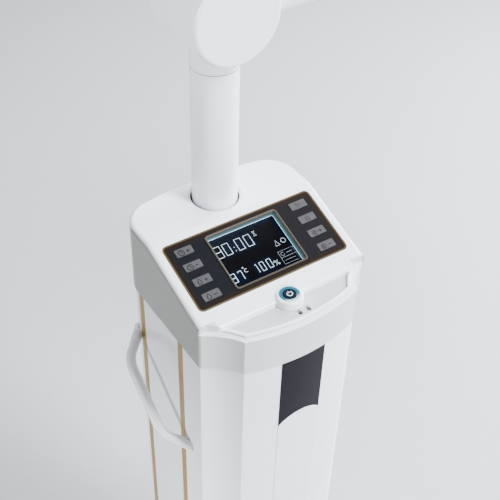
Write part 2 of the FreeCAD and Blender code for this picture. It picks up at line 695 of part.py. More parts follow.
def caster_wheel(x, y):
    """Wheel turned about its axle: tread with bevelled edges, dished sides, hub."""
    half = WHEEL_HALF
    side = [(WHEEL_AXLE_R + RUN_FIT, half + 2), (WHEEL_HUB_R, half + 2), (WHEEL_HUB_R, half - 2),
            (WHEEL_WEB_R, half - 2), (WHEEL_WEB_R + 2, half), (WHEEL_R - TREAD_EDGE, half),
            (WHEEL_R, half - TREAD_EDGE)]
    profile = [V(w, r, 0) for r, w in side] + [V(-w, r, 0) for r, w in reversed(side)]
    wheel = Part.Face(Part.makePolygon(profile + profile[:1]))
    wheel = wheel.revolve(V(0, 0, 0), V(1, 0, 0), 360)
    wheel.translate(V(x, y + CASTER_TRAIL, WHEEL_R))
    return wheel


def brake_pedal(x, y):
    """Foot pedal pivoted in the fork, with a shoe that meets the tread when pressed."""
    barrel = rod(4, (-12.6, *PEDAL_PIVOT), (12.6, *PEDAL_PIVOT))
    pins = rod(PEDAL_PIN_R, (-16, *PEDAL_PIVOT), (16, *PEDAL_PIVOT))
    tread = profile_prism([(30, 69.8), (58, 66), (62, 62), (61, 58.5), (56, 61), (46, 63),
                           (44, 53.5), (40, 56.6), (36, 64), (30, 62.2)], 11)
    pedal = fused(barrel, pins, tread)
    pedal.translate(V(x, y, 0))
    return pedal


# ---- Mast and elbow -----------------------------------------------------------------------

def mast_tube():
    tube = rod(MAST_R, (0, MAST_Y, MAST_FOOT_Z), (0, MAST_Y, SEAM_Z))
    bore = rod(MAST_R - MAST_WALL, (0, MAST_Y, MAST_FOOT_Z - 1), (0, MAST_Y, SEAM_Z + 1))
    return tube.cut(bore)


def swivel_spindle():
    """Hollow spindle plugged into the mast, with a retaining nut inside the elbow."""
    plug = rod(MAST_R - MAST_WALL - SEAT_FIT, (0, MAST_Y, SEAM_Z - 48), (0, MAST_Y, SEAM_Z))
    nut_z = NECK_FLOOR_Z + SEAM_GAP
    spindle = rod(15, (0, MAST_Y, SEAM_Z - 1), (0, MAST_Y, nut_z + 2.6))
    nut = rod(19, (0, MAST_Y, nut_z), (0, MAST_Y, nut_z + 2.6))
    bore = rod(9, (0, MAST_Y, SEAM_Z - 49), (0, MAST_Y, nut_z + 3))
    return fused(plug, spindle, nut).cut(bore)


def across(radius, y0, y1, x=0.0, z=ELBOW_Z):
    """Cylinder along Y, with y counted from the mast axis."""
    return rod(radius, (x, MAST_Y + y0, z), (x, MAST_Y + y1, z))


def ring_sector(inner, outer, half, first, last):
    """Part of a ring round the elbow axis between two angles above level."""
    corners = [V(inner, MAST_Y - half, ELBOW_Z), V(outer, MAST_Y - half, ELBOW_Z),
               V(outer, MAST_Y + half, ELBOW_Z), V(inner, MAST_Y + half, ELBOW_Z)]
    face = Part.Face(Part.makePolygon(corners + corners[:1]))
    face.rotate(V(0, MAST_Y, ELBOW_Z), V(0, -1, 0), first)
    return face.revolve(V(0, MAST_Y, ELBOW_Z), V(0, -1, 0), last - first)


def elbow_housing():
    """Neck and drum in one casting, with the slot in which the arm lifts."""
    neck = rod(MAST_R, (0, MAST_Y, SEAM_Z + SEAM_GAP), (0, MAST_Y, ELBOW_Z))
    drum = fused(neck, across(DRUM_R, -DRUM_HALF, DRUM_HALF))
    cavity = across(DRUM_R - DRUM_WALL, -DRUM_HALF - 1, DRUM_HALF - 4)
    floor = rod(22, (0, MAST_Y, SEAM_Z + SEAM_GAP), (0, MAST_Y, NECK_FLOOR_Z))
    drum = fused(drum.cut(cavity), floor)
    clear = MAST_R + 0.6
    level = rod(clear, (20, MAST_Y, ELBOW_Z), (60, MAST_Y, ELBOW_Z))
    lifted = level.copy()
    lifted.rotate(V(0, MAST_Y, ELBOW_Z), V(0, -1, 0), TILT_MAX)
    sweep = ring_sector(30, 60, clear, 0, TILT_MAX)
    spindle_bore = rod(15 + RUN_FIT, (0, MAST_Y, SEAM_Z), (0, MAST_Y, NECK_FLOOR_Z + 1))
    axle_bore = across(AXLE_R + SEAT_FIT, 0, DRUM_HALF + 1)
    return drum.cut([level, lifted, sweep, spindle_bore, axle_bore])


def rounded_cap(y_inner, direction):
    """Disc with a rounded outer rim; direction is -1 for the front and 1 for the rear."""
    ends = sorted((y_inner, y_inner + direction * CAP_THICK))
    disc = across(DRUM_R, *ends)
    outer_y = MAST_Y + y_inner + direction * CAP_THICK
    return disc.makeFillet(CAP_EDGE_R, edges_in_plane(disc, "Y", outer_y))


def elbow_cap_front():
    """Front cap; its plug closes the drum and carries the front end of the axle."""
    plug = across(DRUM_R - DRUM_WALL - SEAT_FIT, -DRUM_HALF - 0.5, -DRUM_HALF + 4)
    cap = fused(rounded_cap(-DRUM_HALF, -1), plug)
    return cap.cut(across(AXLE_R + SEAT_FIT, -DRUM_HALF - 1.5, 0))


def elbow_cap_rear():
    """Rear cap over the end of the axle."""
    cap = rounded_cap(DRUM_HALF, 1)
    return cap.cut(across(AXLE_R + 1, DRUM_HALF - 1, DRUM_HALF + 1.5))


def elbow_axle():
    """Axle with the friction discs that hold the arm where it is put."""
    shaft = across(AXLE_R, -DRUM_HALF - 1, DRUM_HALF + 1)
    inner = 24.2
    outer = DRUM_HALF - 4.1
    return fused(shaft, across(26, -outer, -inner), across(26, inner, outer))


# ---- Arm and wrist ------------------------------------------------------------------------

def arm_knuckle():
    """Knuckle on the elbow axle: barrel, shoulder, tube spigot and the curved slot shield."""
    barrel = across(33, -24, 24)
    shoulder = rod(MAST_R, (27, MAST_Y, ELBOW_Z), (40, MAST_Y, ELBOW_Z))
    spigot = rod(MAST_R - MAST_WALL - SEAT_FIT, (39, MAST_Y, ELBOW_Z), (85, MAST_Y, ELBOW_Z))
    shield_r = DRUM_R - DRUM_WALL - 0.4
    shield = ring_sector(shield_r - 1.8, shield_r, 27.5, 30, 77)
    rib = ring_sector(30, shield_r - 1, 3, 30, 77)
    return fused(barrel, shoulder, spigot, shield, rib).cut(across(AXLE_R + RUN_FIT, -30, 30))


def arm_tube():
    """Arm tube welded to the wrist drum."""
    tube = rod(MAST_R, (40, MAST_Y, ELBOW_Z), (ARM_LENGTH, MAST_Y, ELBOW_Z))
    bore = rod(MAST_R - MAST_WALL, (39, MAST_Y, ELBOW_Z), (ARM_LENGTH - WRIST_R, MAST_Y, ELBOW_Z))
    drum = across(WRIST_R, -WRIST_HALF, WRIST_HALF, ARM_LENGTH)
    rims = [edge for y in (MAST_Y - WRIST_HALF, MAST_Y + WRIST_HALF)
            for edge in edges_in_plane(drum, "Y", y)]
    drum = drum.makeChamfer(WRIST_EDGE, rims)
    axle = across(AXLE_R + RUN_FIT, -WRIST_HALF - 1, WRIST_HALF + 1, ARM_LENGTH)
    return fused(tube, drum).cut([bore, axle])


def wrist_axle():
    """Wrist axle with a low round head at each end."""
    radius, height = AXLE_HEAD
    reach = WRIST_HALF + YOKE_GAP + YOKE_CHEEK
    shaft = across(AXLE_R, -reach, reach, ARM_LENGTH)
    heads = []
    for side in (-1, 1):
        head = across(radius, *sorted((side * reach, side * (reach + height))), ARM_LENGTH)
        rim = edges_in_plane(head, "Y", MAST_Y + side * (reach + height))
        heads.append(head.makeChamfer(1.5, rim))
    return fused(shaft, *heads)


def yoke_cheek(y0):
    """One side plate of the yoke: round above, narrowing to the beam."""
    top = across(WRIST_R, y0, y0 + YOKE_CHEEK, ARM_LENGTH)
    foot_z = ELBOW_Z - YOKE_DROP
    corners = [V(ARM_LENGTH + x, MAST_Y + y0, z)
               for x, z in ((-WRIST_R, ELBOW_Z), (WRIST_R, ELBOW_Z), (YOKE_HALF, foot_z),
                            (-YOKE_HALF, foot_z))]
    plate = Part.Face(Part.makePolygon(corners + corners[:1])).extrude(V(0, YOKE_CHEEK, 0))
    return fused(top, plate)


def lamp_yoke():
    """Fork that hangs from the wrist, with the spindle the lamp turns on."""
    inner = WRIST_HALF + YOKE_GAP
    outer = inner + YOKE_CHEEK
    foot_z = ELBOW_Z - YOKE_DROP
    beam = block(ARM_LENGTH - YOKE_HALF, ARM_LENGTH + YOKE_HALF, MAST_Y - outer, MAST_Y + outer,
                 foot_z, foot_z + 12)
    hub_top = LAMP_TOP_Z + HUB_HEIGHT + 0.4
    foot = Part.makeCone(18, 25, foot_z + 1 - hub_top, V(ARM_LENGTH, MAST_Y, hub_top))
    under = LAMP_TOP_Z - LAMP_WALL - 0.4

    def upright(radius, z0, z1):
        return rod(radius, (ARM_LENGTH, MAST_Y, z0), (ARM_LENGTH, MAST_Y, z1))

    spindle = upright(SPINDLE_R, under - 4.6, hub_top + 0.6)
    collar = upright(SPINDLE_R + 6, under - 5, under)
    yoke = fused(yoke_cheek(-outer), yoke_cheek(inner), beam, foot, spindle, collar)
    return yoke.cut(across(AXLE_R + SEAT_FIT, -outer - 1, outer + 1, ARM_LENGTH))


# ---- Lamp ---------------------------------------------------------------------------------
# Each of its three shells is built round x = 0, y = 0 with its top at z = 0, then turned so
# that its length lies along the arm, and moved. The right wing ends up in front.

def lamp_shell(width):
    """Shallow moulded tray, open below, with a step for the lens and posts for the board."""
    size = (width, LAMP_LENGTH)
    shell = rounded_slab(size, LAMP_CORNER_R, -LAMP_THICK, 0)
    shell = shell.makeFillet(LAMP_EDGE_R, edges_in_plane(shell, "Z", 0))
    inner = (width - 8, LAMP_LENGTH - 8)
    hollow = rounded_slab(inner, LAMP_CORNER_R - 4, -LAMP_THICK - 1, -LAMP_WALL)
    mouth = rounded_slab((width - 4, LAMP_LENGTH - 4), LAMP_CORNER_R - 2, -LAMP_THICK - 1,
                         -LAMP_THICK + 3)
    posts = [rod(4, (x, y, LED_DEPTH - LAMP_THICK), (x, y, 0.5 - LAMP_WALL))
             for x in (-width / 2 + 18, width / 2 - 18) for y in (-135, 135)]
    return fused(shell.cut([hollow, mouth]), *posts)


def lamp_lens(width):
    """Clear cover seated in the mouth of a shell."""
    return rounded_slab((width - 4.3, LAMP_LENGTH - 4.3), LAMP_CORNER_R - 2.1, -LAMP_THICK + 0.2,
                        -LAMP_THICK + 3)


def led_board(width, columns):
    """Circuit board with rows of light-emitting diodes on its lower face."""
    top = LED_DEPTH - LAMP_THICK
    board = rounded_slab((width - 9, LAMP_LENGTH - 9), LAMP_CORNER_R - 5, top - 2, top)
    pitch_x = (width - 30) / columns
    pitch_y = (LAMP_LENGTH - 24) / LED_ROWS
    half = LED_SIZE / 2
    leds = []
    for column in range(columns):
        x = (column - (columns - 1) / 2) * pitch_x
        for row in range(LED_ROWS):
            y = (row - (LED_ROWS - 1) / 2) * pitch_y
            leds.append(block(x - half, x + half, y - half, y + half, top - 3.2, top - 1.9))
    return fused(board, *leds)


def hinge_lugs(spans, reach):
    """Hinge barrels over the y spans, joined to the shell on the reach side of the axis."""
    lugs = []
    for y0, y1 in spans:
        lugs.append(rod(HINGE_R, (HINGE_X, y0, HINGE_Z), (HINGE_X, y1, HINGE_Z)))
        xs = sorted((HINGE_X, HINGE_X + reach))
        lugs.append(block(*xs, y0, y1, -LAMP_THICK, HINGE_Z + HINGE_R - 2))
    return lugs


def mirrored(shape):
    return shape.mirror(V(0, 0, 0), V(1, 0, 0))


def hung(shape):
    """Place a lamp piece under the wrist, its length along the arm."""
    placed = shape.copy()
    placed.rotate(V(0, 0, 0), V(0, 0, 1), -90)
    placed.translate(V(ARM_LENGTH, MAST_Y, LAMP_TOP_Z))
    return placed


def lamp_body():
    """Middle shell with its hub and hinge barrels."""
    hub = rod(HUB_R, (0, 0, -1), (0, 0, HUB_HEIGHT))
    hub = hub.makeChamfer(2.0, edges_in_plane(hub, "Z", HUB_HEIGHT))
    right_lugs = hinge_lugs(BODY_SPANS, -HINGE_R - HINGE_GAP - 1)
    left_lugs = [mirrored(lug) for lug in right_lugs]
    body = fused(lamp_shell(CENTRE_WIDTH), hub, *right_lugs, *left_lugs)
    bore = rod(SPINDLE_R + RUN_FIT, (0, 0, -LAMP_WALL - 1), (0, 0, HUB_HEIGHT + 1))
    pins = [rod(PIN_R + SEAT_FIT, (x, -140, HINGE_Z), (x, 140, HINGE_Z))
            for x in (-HINGE_X, HINGE_X)]
    return hung(body.cut([bore] + pins))


def hinge_pins():
    """Two pins on each side, each through one body barrel and one wing barrel."""
    pins = []
    for x in (-HINGE_X, HINGE_X):
        pins.append(rod(PIN_R, (x, -135, HINGE_Z), (x, -75, HINGE_Z)))
        pins.append(rod(PIN_R, (x, 75, HINGE_Z), (x, 135, HINGE_Z)))
    return hung(Part.Compound(pins))


def wing_frame(shape, side):
    """Move a piece built round the wing's own middle to the wing, hanging at rest."""
    centre_x = HINGE_X + HINGE_R + HINGE_GAP + WING_WIDTH / 2
    placed = shape.copy()
    placed.translate(V(centre_x, 0, 0))
    placed.rotate(V(HINGE_X, 0, HINGE_Z), V(0, 1, 0), WING_REST)
    return hung(placed if side > 0 else mirrored(placed))


def wing_shell(side):
    """Folding wing with its hinge barrels."""
    centre_x = HINGE_X + HINGE_R + HINGE_GAP + WING_WIDTH / 2
    lugs = hinge_lugs(WING_SPANS, HINGE_R + HINGE_GAP + 1)
    for lug in lugs:
        lug.translate(V(-centre_x, 0, 0))
    bore_x = HINGE_X - centre_x
    bore = rod(PIN_R + RUN_FIT, (bore_x, -140, HINGE_Z), (bore_x, 140, HINGE_Z))
    return wing_frame(fused(lamp_shell(WING_WIDTH), *lugs).cut(bore), side)


# ---- All sub-parts ------------------------------------------------------------------------

def sub_parts():
    """Name and shape of every sub-part."""
    dark_strip, white_strip = front_strips()
    parts = {
        "base_plate": base_plate(),
        "base_cover": base_cover(),
        "column_shell": column_shell(),
        "front_strip_dark": dark_strip,
        "front_strip_white": white_strip,
        "side_insets": side_insets(),
        "gold_trims": gold_trims(),
        "handle_left": handle(-1),
        "handle_right": handle(1),
        "rear_cover": rear_cover(),
        "cover_screws": cover_screws(),
        "mains_inlet": mains_inlet(),
        "mast_bracket": mast_bracket(),
        "power_supply": power_supply(),
        "head_shell": head_shell(),
        "keypad_overlay": keypad_overlay(),
        "lcd_bezel": lcd_bezel(),
        "lcd_module": lcd_module(),
        "control_board": control_board(),
        "button_ring": button_ring(),
        "power_button": power_button(),
        "indicator_lights": indicator_lights(),
        "mast_tube": mast_tube(),
        "swivel_spindle": swivel_spindle(),
        "elbow_housing": elbow_housing(),
        "elbow_cap_front": elbow_cap_front(),
        "elbow_cap_rear": elbow_cap_rear(),
        "elbow_axle": elbow_axle(),
        "arm_knuckle": arm_knuckle(),
        "arm_tube": arm_tube(),
        "wrist_axle": wrist_axle(),
        "lamp_yoke": lamp_yoke(),
        "lamp_body": lamp_body(),
        "hinge_pins": hinge_pins(),
        "led_board_centre": hung(led_board(CENTRE_WIDTH, 5)),
        "lens_centre": hung(lamp_lens(CENTRE_WIDTH)),
    }
    for name, x, y in key_places():
        parts[name] = key_cap(x, y)
    for side, sign in (("left", -1), ("right", 1)):
        parts[f"wing_{side}"] = wing_shell(sign)
        parts[f"led_board_{side}"] = wing_frame(led_board(WING_WIDTH, 4), sign)
        parts[f"lens_{side}"] = wing_frame(lamp_lens(WING_WIDTH), sign)
    for name, x, y in caster_places():
        parts[f"caster_fork_{name}"] = caster_fork(x, y)
        parts[f"caster_wheel_{name}"] = caster_wheel(x, y)
        if name.startswith("front"):
            parts[f"brake_pedal_{name}"] = brake_pedal(x, y)
    return parts


os.makedirs("parts", exist_ok=True)
for part_name, part_shape in sub_parts().items():
    if not part_shape.isValid():
        print("not valid:", part_name)
    part_shape.exportStep(f"parts/{part_name}.step")
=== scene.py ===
import bmesh
import bpy
import math
from mathutils import Matrix, Vector


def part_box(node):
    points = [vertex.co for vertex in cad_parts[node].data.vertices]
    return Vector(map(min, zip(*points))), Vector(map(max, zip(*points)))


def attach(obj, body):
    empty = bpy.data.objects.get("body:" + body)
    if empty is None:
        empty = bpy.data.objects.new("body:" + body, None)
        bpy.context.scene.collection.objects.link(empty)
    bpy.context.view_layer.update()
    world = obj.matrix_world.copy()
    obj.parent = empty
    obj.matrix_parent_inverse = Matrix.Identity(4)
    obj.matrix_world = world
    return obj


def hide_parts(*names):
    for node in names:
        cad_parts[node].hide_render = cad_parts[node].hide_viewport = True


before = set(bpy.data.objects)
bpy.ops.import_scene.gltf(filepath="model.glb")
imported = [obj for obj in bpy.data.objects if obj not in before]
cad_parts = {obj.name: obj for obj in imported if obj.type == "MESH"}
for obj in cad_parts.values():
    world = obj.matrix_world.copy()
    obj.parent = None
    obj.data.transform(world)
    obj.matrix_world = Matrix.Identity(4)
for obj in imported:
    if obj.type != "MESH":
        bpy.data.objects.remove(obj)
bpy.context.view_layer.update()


# ---- Base plate ------------------------------------------
# A laser-cut steel plate carries the column, and the caster kingpins are riveted into it.
# It is painted black before the cover goes on.

JOINT_LINE = (0.0010, 0.0004)  # from the top of a joint down to the foot and top of its line


class Value:
    """A number, colour or vector in a finish; arithmetic on it adds Math nodes."""

    def __init__(self, finish, socket):
        self.finish = finish
        self.socket = socket

    def __add__(self, other):
        return self.finish.math("ADD", self, other)

    def __sub__(self, other):
        return self.finish.math("SUBTRACT", self, other)

    def __rsub__(self, other):
        return self.finish.math("SUBTRACT", other, self)

    def __mul__(self, other):
        return self.finish.math("MULTIPLY", self, other)

    def __pow__(self, other):
        return self.finish.math("POWER", self, other)

    def __abs__(self):
        return self.finish.math("ABSOLUTE", self)

    __radd__ = __add__
    __rmul__ = __mul__

    def above(self, floor):
        """The value, or the floor where it is less."""
        return self.finish.math("MAXIMUM", self, floor)

    def step(self, low, high):
        """0 below low, 1 above high, and smooth between."""
        settings = {"interpolation_type": "SMOOTHSTEP"}
        return self.finish.node("ShaderNodeMapRange", settings, self, low, high)


def new_node(tree, kind, settings):
    """A node in a tree, with its settings."""
    made = tree.nodes.new(kind)
    for key, value in settings.items():
        setattr(made, key, value)
    return made


class Finish:
    """A material in the making."""

    def __init__(self, name):
        self.material = bpy.data.materials.new(name)
        self.material.use_nodes = True
        self.tree = self.material.node_tree
        self.tree.nodes.clear()

    def node(self, kind, settings, *values, out=0, **named):
        """Any node: settings first, then what its sockets get, by place or by name."""
        made = new_node(self.tree, kind, settings)
        sockets = list(zip(made.inputs, values))
        sockets += [(made.inputs[key.replace("_", " ")], value) for key, value in named.items()]
        for socket, value in sockets:
            self.feed(socket, value)
        return Value(self, made.outputs[out])

    def feed(self, socket, value):
        if isinstance(value, Value):
            self.tree.links.new(value.socket, socket)
        elif socket.type == "RGBA":
            socket.default_value = (*value, 1)
        else:
            socket.default_value = value

    def math(self, operation, *values):
        return self.node("ShaderNodeMath", {"operation": operation}, *values)

    def place(self):
        """Place on the object, in metres."""
        return self.node("ShaderNodeTexCoord", {}, out=3)

    def split(self, vector):
        """The three parts of a vector."""
        made = self.node("ShaderNodeSeparateXYZ", {}, vector)
        return [Value(self, socket) for socket in made.socket.node.outputs]

    def noise(self, scale, detail=2.0):
        """Noise from 0 to 1; the scale is in cycles a metre."""
        return self.node("ShaderNodeTexNoise", {}, self.place(), Scale=scale, Detail=detail)

    def streaks(self, scales, detail=3.0):
        """Noise that is stretched along an axis: cycles a metre for each axis."""
        where = self.node("ShaderNodeVectorMath", {"operation": "MULTIPLY"}, self.place(), scales)
        return self.node("ShaderNodeTexNoise", {}, where, Scale=1.0, Detail=detail)

    def mix(self, share, first, second):
        """Blend of two colours."""
        made = self.node("ShaderNodeMix", {"data_type": "RGBA"}, share, out=2)
        self.feed(made.socket.node.inputs[6], first)
        self.feed(made.socket.node.inputs[7], second)
        return made

    def bump(self, height, depth):
        """Normal of a fine relief; the depth is in metres."""
        return self.node("ShaderNodeBump", {}, Height=height, Distance=depth, Strength=1.0)

    def done(self, base, **sockets):
        """Close the material with a Principled shader and return it."""
        shader = self.node("ShaderNodeBsdfPrincipled", {}, Base_Color=base, **sockets)
        output = self.tree.nodes.new("ShaderNodeOutputMaterial")
        self.tree.links.new(shader.socket, output.inputs[0])
        return self.material


def shade(colour, share):
    """The colour made darker or lighter by a share."""
    return [part * share for part in colour]


def middle_of(node):
    """Middle of a CAD node's box."""
    low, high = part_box(node)
    return (low + high) / 2


def coat_node(node, material):
    """Give a CAD node its finish."""
    node_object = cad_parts[node]
    node_object.data.materials.clear()
    node_object.data.materials.append(material)


def powder_paint(name, colour, roughness, coat=0.0, seam=None):
    """Powder paint: a fine orange peel and slight changes of gloss and tone. A seam is the
    height of a joint, with a dark line just under it."""
    finish = Finish(name)
    peel = finish.noise(2600.0, 3.0)
    patches = finish.noise(9.0, 4.0)
    tone = finish.mix(patches.step(0.35, 0.7), colour, shade(colour, 0.97))
    if seam:
        height = finish.split(finish.place())[2]
        line = height.step(seam - JOINT_LINE[0], seam - JOINT_LINE[1])
        tone = finish.mix(line, tone, (0.04, 0.04, 0.05))
    gloss = roughness + 0.06 * (patches - 0.5) + 0.05 * (peel - 0.5)
    return finish.done(tone, Roughness=gloss, Normal=finish.bump(peel, 0.00002),
                       Coat_Weight=coat, Coat_Roughness=0.07)


coat_node("base_plate", powder_paint("black_plate_paint", (0.035, 0.035, 0.037), 0.5))


# ---- Base cover ------------------------------------------
# One large moulding in white ABS: a skirt, a sloped crown and a collar round the column.
# It drops over the plate and is dulled a little by dust near the floor.

def moulding_noise(finish):
    """The spark-eroded grain of a moulding, and clouds of tone and gloss."""
    return finish.noise(3400.0, 2.0), finish.noise(7.0, 3.0)


def moulded(name, colour, roughness, dust_top=None):
    """Satin moulded plastic; dust dulls it below dust_top."""
    finish = Finish(name)
    grain, clouds = moulding_noise(finish)
    tone = finish.mix(clouds.step(0.3, 0.75), colour, shade(colour, 0.975))
    gloss = roughness + 0.07 * (clouds - 0.5) + 0.04 * (grain - 0.5)
    if dust_top:
        height = finish.split(finish.place())[2]
        dust = (1.0 - height.step(0.0, dust_top)) * finish.noise(60.0, 5.0).step(0.35, 0.8)
        tone = finish.mix(dust * 0.35, tone, (0.42, 0.40, 0.37))
        gloss = gloss + 0.3 * dust
    return finish.done(tone, Roughness=gloss, Normal=finish.bump(grain, 0.000012))


coat_node("base_cover", moulded("base_moulding", (0.82, 0.82, 0.84), 0.36, dust_top=0.14))


# ---- Casters ---------------------------------------------
# Four swivel casters: a moulded nylon fork on the kingpin, a wheel with a grey tread on a
# riveted axle, and a foot brake on the two front ones. The tread has moulded cross ribs.

TREAD_RIBS = 48
RIB_SIZE = (0.014, 0.0014, 0.0016)  # across the tread, in height, and along it
RIB_INSET = 0.00002  # the ribs end this far inside the tread, clear of the floor


def nylon(name, colour):
    """Glass-filled nylon: dark, dull, with pale fibre flecks and scuffed faces."""
    finish = Finish(name)
    flecks = finish.noise(1400.0, 4.0)
    scuffs = finish.noise(90.0, 5.0).step(0.56, 0.72)
    tone = finish.mix(flecks.step(0.58, 0.75) * 0.25, colour, (0.22, 0.22, 0.23))
    tone = finish.mix(scuffs * 0.2, tone, (0.26, 0.25, 0.24))
    return finish.done(tone, Roughness=0.55 - 0.12 * scuffs, Normal=finish.bump(flecks, 0.00003))


def tread_rubber():
    """Grey rubber with dirt in patches."""
    finish = Finish("wheel_rubber")
    grain = finish.noise(900.0, 4.0)
    dirt = finish.noise(70.0, 4.0).step(0.4, 0.75)
    tone = finish.mix(dirt, (0.105, 0.105, 0.112), (0.055, 0.053, 0.052))
    return finish.done(tone, Roughness=0.62 + 0.15 * dirt, Normal=finish.bump(grain, 0.00005))


def new_object(name, data):
    """An object in the scene."""
    made = bpy.data.objects.new(name, data)
    bpy.context.scene.collection.objects.link(made)
    return made


def evaluated_mesh(carrier):
    """The plain mesh that an object and its modifiers give."""
    depsgraph = bpy.context.evaluated_depsgraph_get()
    return bpy.data.meshes.new_from_object(carrier.evaluated_get(depsgraph))


class Recipe:
    """A Geometry Nodes tree in the making, with named inputs for its sizes and finish."""

    def __init__(self, name, **inputs):
        self.tree = bpy.data.node_groups.new(name, "GeometryNodeTree")
        face = self.tree.interface
        face.new_socket("Geometry", in_out="OUTPUT", socket_type="NodeSocketGeometry")
        face.new_socket("Geometry", in_out="INPUT", socket_type="NodeSocketGeometry")
        self.codes = {}
        for key, kind in {**inputs, "Finish": "Material"}.items():
            made = face.new_socket(key, in_out="INPUT", socket_type="NodeSocket" + kind)
            self.codes[key] = made.identifier
        self.given = self.tree.nodes.new("NodeGroupInput").outputs

    def node(self, kind, settings, out, **sockets):
        """Any node: settings, the output that is wanted, then values or links by socket name."""
        made = new_node(self.tree, kind, settings)
        for key, value in sockets.items():
            socket = made.inputs[key.replace("_", " ")]
            if isinstance(value, bpy.types.NodeSocket):
                self.tree.links.new(value, socket)
            else:
                socket.default_value = value
        return made.outputs[out]

    def close(self, geometry):
        """Realize the instances, set the finish and send the result out."""
        real = self.node("GeometryNodeRealizeInstances", {}, 0, Geometry=geometry)
        coated = self.node("GeometryNodeSetMaterial", {}, 0, Geometry=real,
                           Material=self.given["Finish"])
        self.tree.links.new(coated, self.tree.nodes.new("NodeGroupOutput").inputs[0])

    def bake(self, name, points, edges=(), **values):
        """Run the tree on a few points or edges and return the plain mesh."""
        seed = bpy.data.meshes.new(name)
        seed.from_pydata([tuple(point) for point in points], edges, [])
        carrier = new_object(name, seed)
        modifier = carrier.modifiers.new(name, "NODES")
        modifier.node_group = self.tree
        for key, value in values.items():
            modifier[self.codes[key]] = value
        mesh = evaluated_mesh(carrier)
        bpy.data.objects.remove(carrier)
        return mesh


def fit(name, mesh, body, slot, *stands_for):
    """Add a finished mesh to the object: it rides on a body and may stand for CAD nodes."""
    piece = new_object(name, mesh)
    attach(piece, body)
    if stands_for:
        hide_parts(*stands_for)


def rib_recipe():
    """A ring of small cross ribs round the X axis."""
    recipe = Recipe("tread_ribs", Radius="Float", Count="Int", Size="Vector")
    circle = recipe.node("GeometryNodeCurvePrimitiveCircle", {}, 0,
                         Resolution=recipe.given["Count"], Radius=recipe.given["Radius"])
    places = recipe.node("GeometryNodeCurveToPoints", {"mode": "EVALUATED"}, "Points",
                         Curve=circle)
    rib = recipe.node("GeometryNodeMeshCube", {}, 0, Size=recipe.given["Size"])
    turned = recipe.node("GeometryNodeTransform", {}, 0, Geometry=rib,
                         Rotation=(0.0, 0.0, math.radians(90)))
    ring = recipe.node("GeometryNodeInstanceOnPoints", {}, 0, Points=places, Instance=turned,
                       Rotation=places.node.outputs["Rotation"])
    recipe.close(ring)
    return recipe


fork_nylon = nylon("fork_nylon", (0.045, 0.045, 0.048))
pedal_nylon = nylon("pedal_nylon", (0.055, 0.056, 0.06))
rubber = tread_rubber()
tread_ribs = rib_recipe()
for node in sorted(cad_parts):
    if node.startswith("caster_fork"):
        coat_node(node, fork_nylon)
    elif node.startswith("brake_pedal"):
        coat_node(node, pedal_nylon)
    elif node.startswith("caster_wheel"):
        coat_node(node, rubber)
        low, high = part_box(node)
        rim = (high.z - low.z) / 2 - RIB_SIZE[1] / 2 - RIB_INSET
        ribs = tread_ribs.bake("tread_ribs", [(0, 0, 0)], Radius=rim, Count=TREAD_RIBS,
                               Size=RIB_SIZE, Finish=rubber)
        ribs.transform(Matrix.Translation(middle_of(node))
                       @ Matrix.Rotation(math.radians(90), 4, "Y"))
        fit(node.replace("caster_wheel", "tread_ribs"), ribs, node, "wheel_tread")


# ---- Column ----------------------------------------------
# A thin-walled steel column, folded and powder painted white. A screwed service cover with
# vent slots closes its back, and a woven wire screen behind the slots keeps the dust out.

SCREEN_WIRE = 0.0005
SCREEN_PITCH = 0.0025
SCREEN_MARGIN = 0.004  # the screen reaches this far past the slots
VENT_FIELD = ((-0.030, 0.030), (0.300, 0.389))  # slots, across and in height


def bar_recipe():
    """A bar of rectangular section along every path of edges that it is given."""
    recipe = Recipe("bars", Width="Float", Height="Float")
    path = recipe.node("GeometryNodeMeshToCurve", {}, 0, Mesh=recipe.given["Geometry"])
    level = recipe.node("GeometryNodeSetCurveNormal", {"mode": "Z_UP"}, 0, Curve=path)
    profile = recipe.node("GeometryNodeCurvePrimitiveQuadrilateral", {}, 0,
                          Width=recipe.given["Width"], Height=recipe.given["Height"])
    recipe.close(recipe.node("GeometryNodeCurveToMesh", {}, 0, Curve=level,
                             Profile_Curve=profile, Fill_Caps=True))
    return recipe


def bare_metal(name, colour, roughness=0.25, streak=(900.0, 900.0, 900.0)):
    """Machined metal with tool marks and slight tarnish."""
    finish = Finish(name)
    marks = finish.streaks(streak)
    tarnish = finish.noise(60.0, 4.0).step(0.4, 0.8)
    tone = finish.mix(tarnish * 0.4, colour, shade(colour, 0.6))
    return finish.done(tone, Metallic=1.0, Roughness=roughness + 0.15 * marks + 0.1 * tarnish,
                       Normal=finish.bump(marks, 0.000006))


coat_node("column_shell", powder_paint("column_paint", (0.84, 0.84, 0.88), 0.38))
coat_node("rear_cover", powder_paint("cover_paint", (0.80, 0.80, 0.83), 0.45))

bars = bar_recipe()
(left, right), (bottom, top) = ((span[0] - SCREEN_MARGIN, span[1] + SCREEN_MARGIN)
                                for span in VENT_FIELD)
screen_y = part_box("rear_cover")[0].y - SCREEN_WIRE
ends = []
for number in range(int((right - left) / SCREEN_PITCH) + 1):
    x = left + number * SCREEN_PITCH
    ends += [(x, screen_y, bottom), (x, screen_y, top)]
for number in range(int((top - bottom) / SCREEN_PITCH) + 1):
    z = bottom + number * SCREEN_PITCH
    ends += [(left, screen_y - SCREEN_WIRE, z), (right, screen_y - SCREEN_WIRE, z)]
screen = bars.bake("dust_screen", ends, [(i, i + 1) for i in range(0, len(ends), 2)],
                   Width=SCREEN_WIRE, Height=SCREEN_WIRE,
                   Finish=bare_metal("screen_wire", (0.30, 0.30, 0.31), 0.4))
fit("dust_screen", screen, "cabinet", "screw_steel")


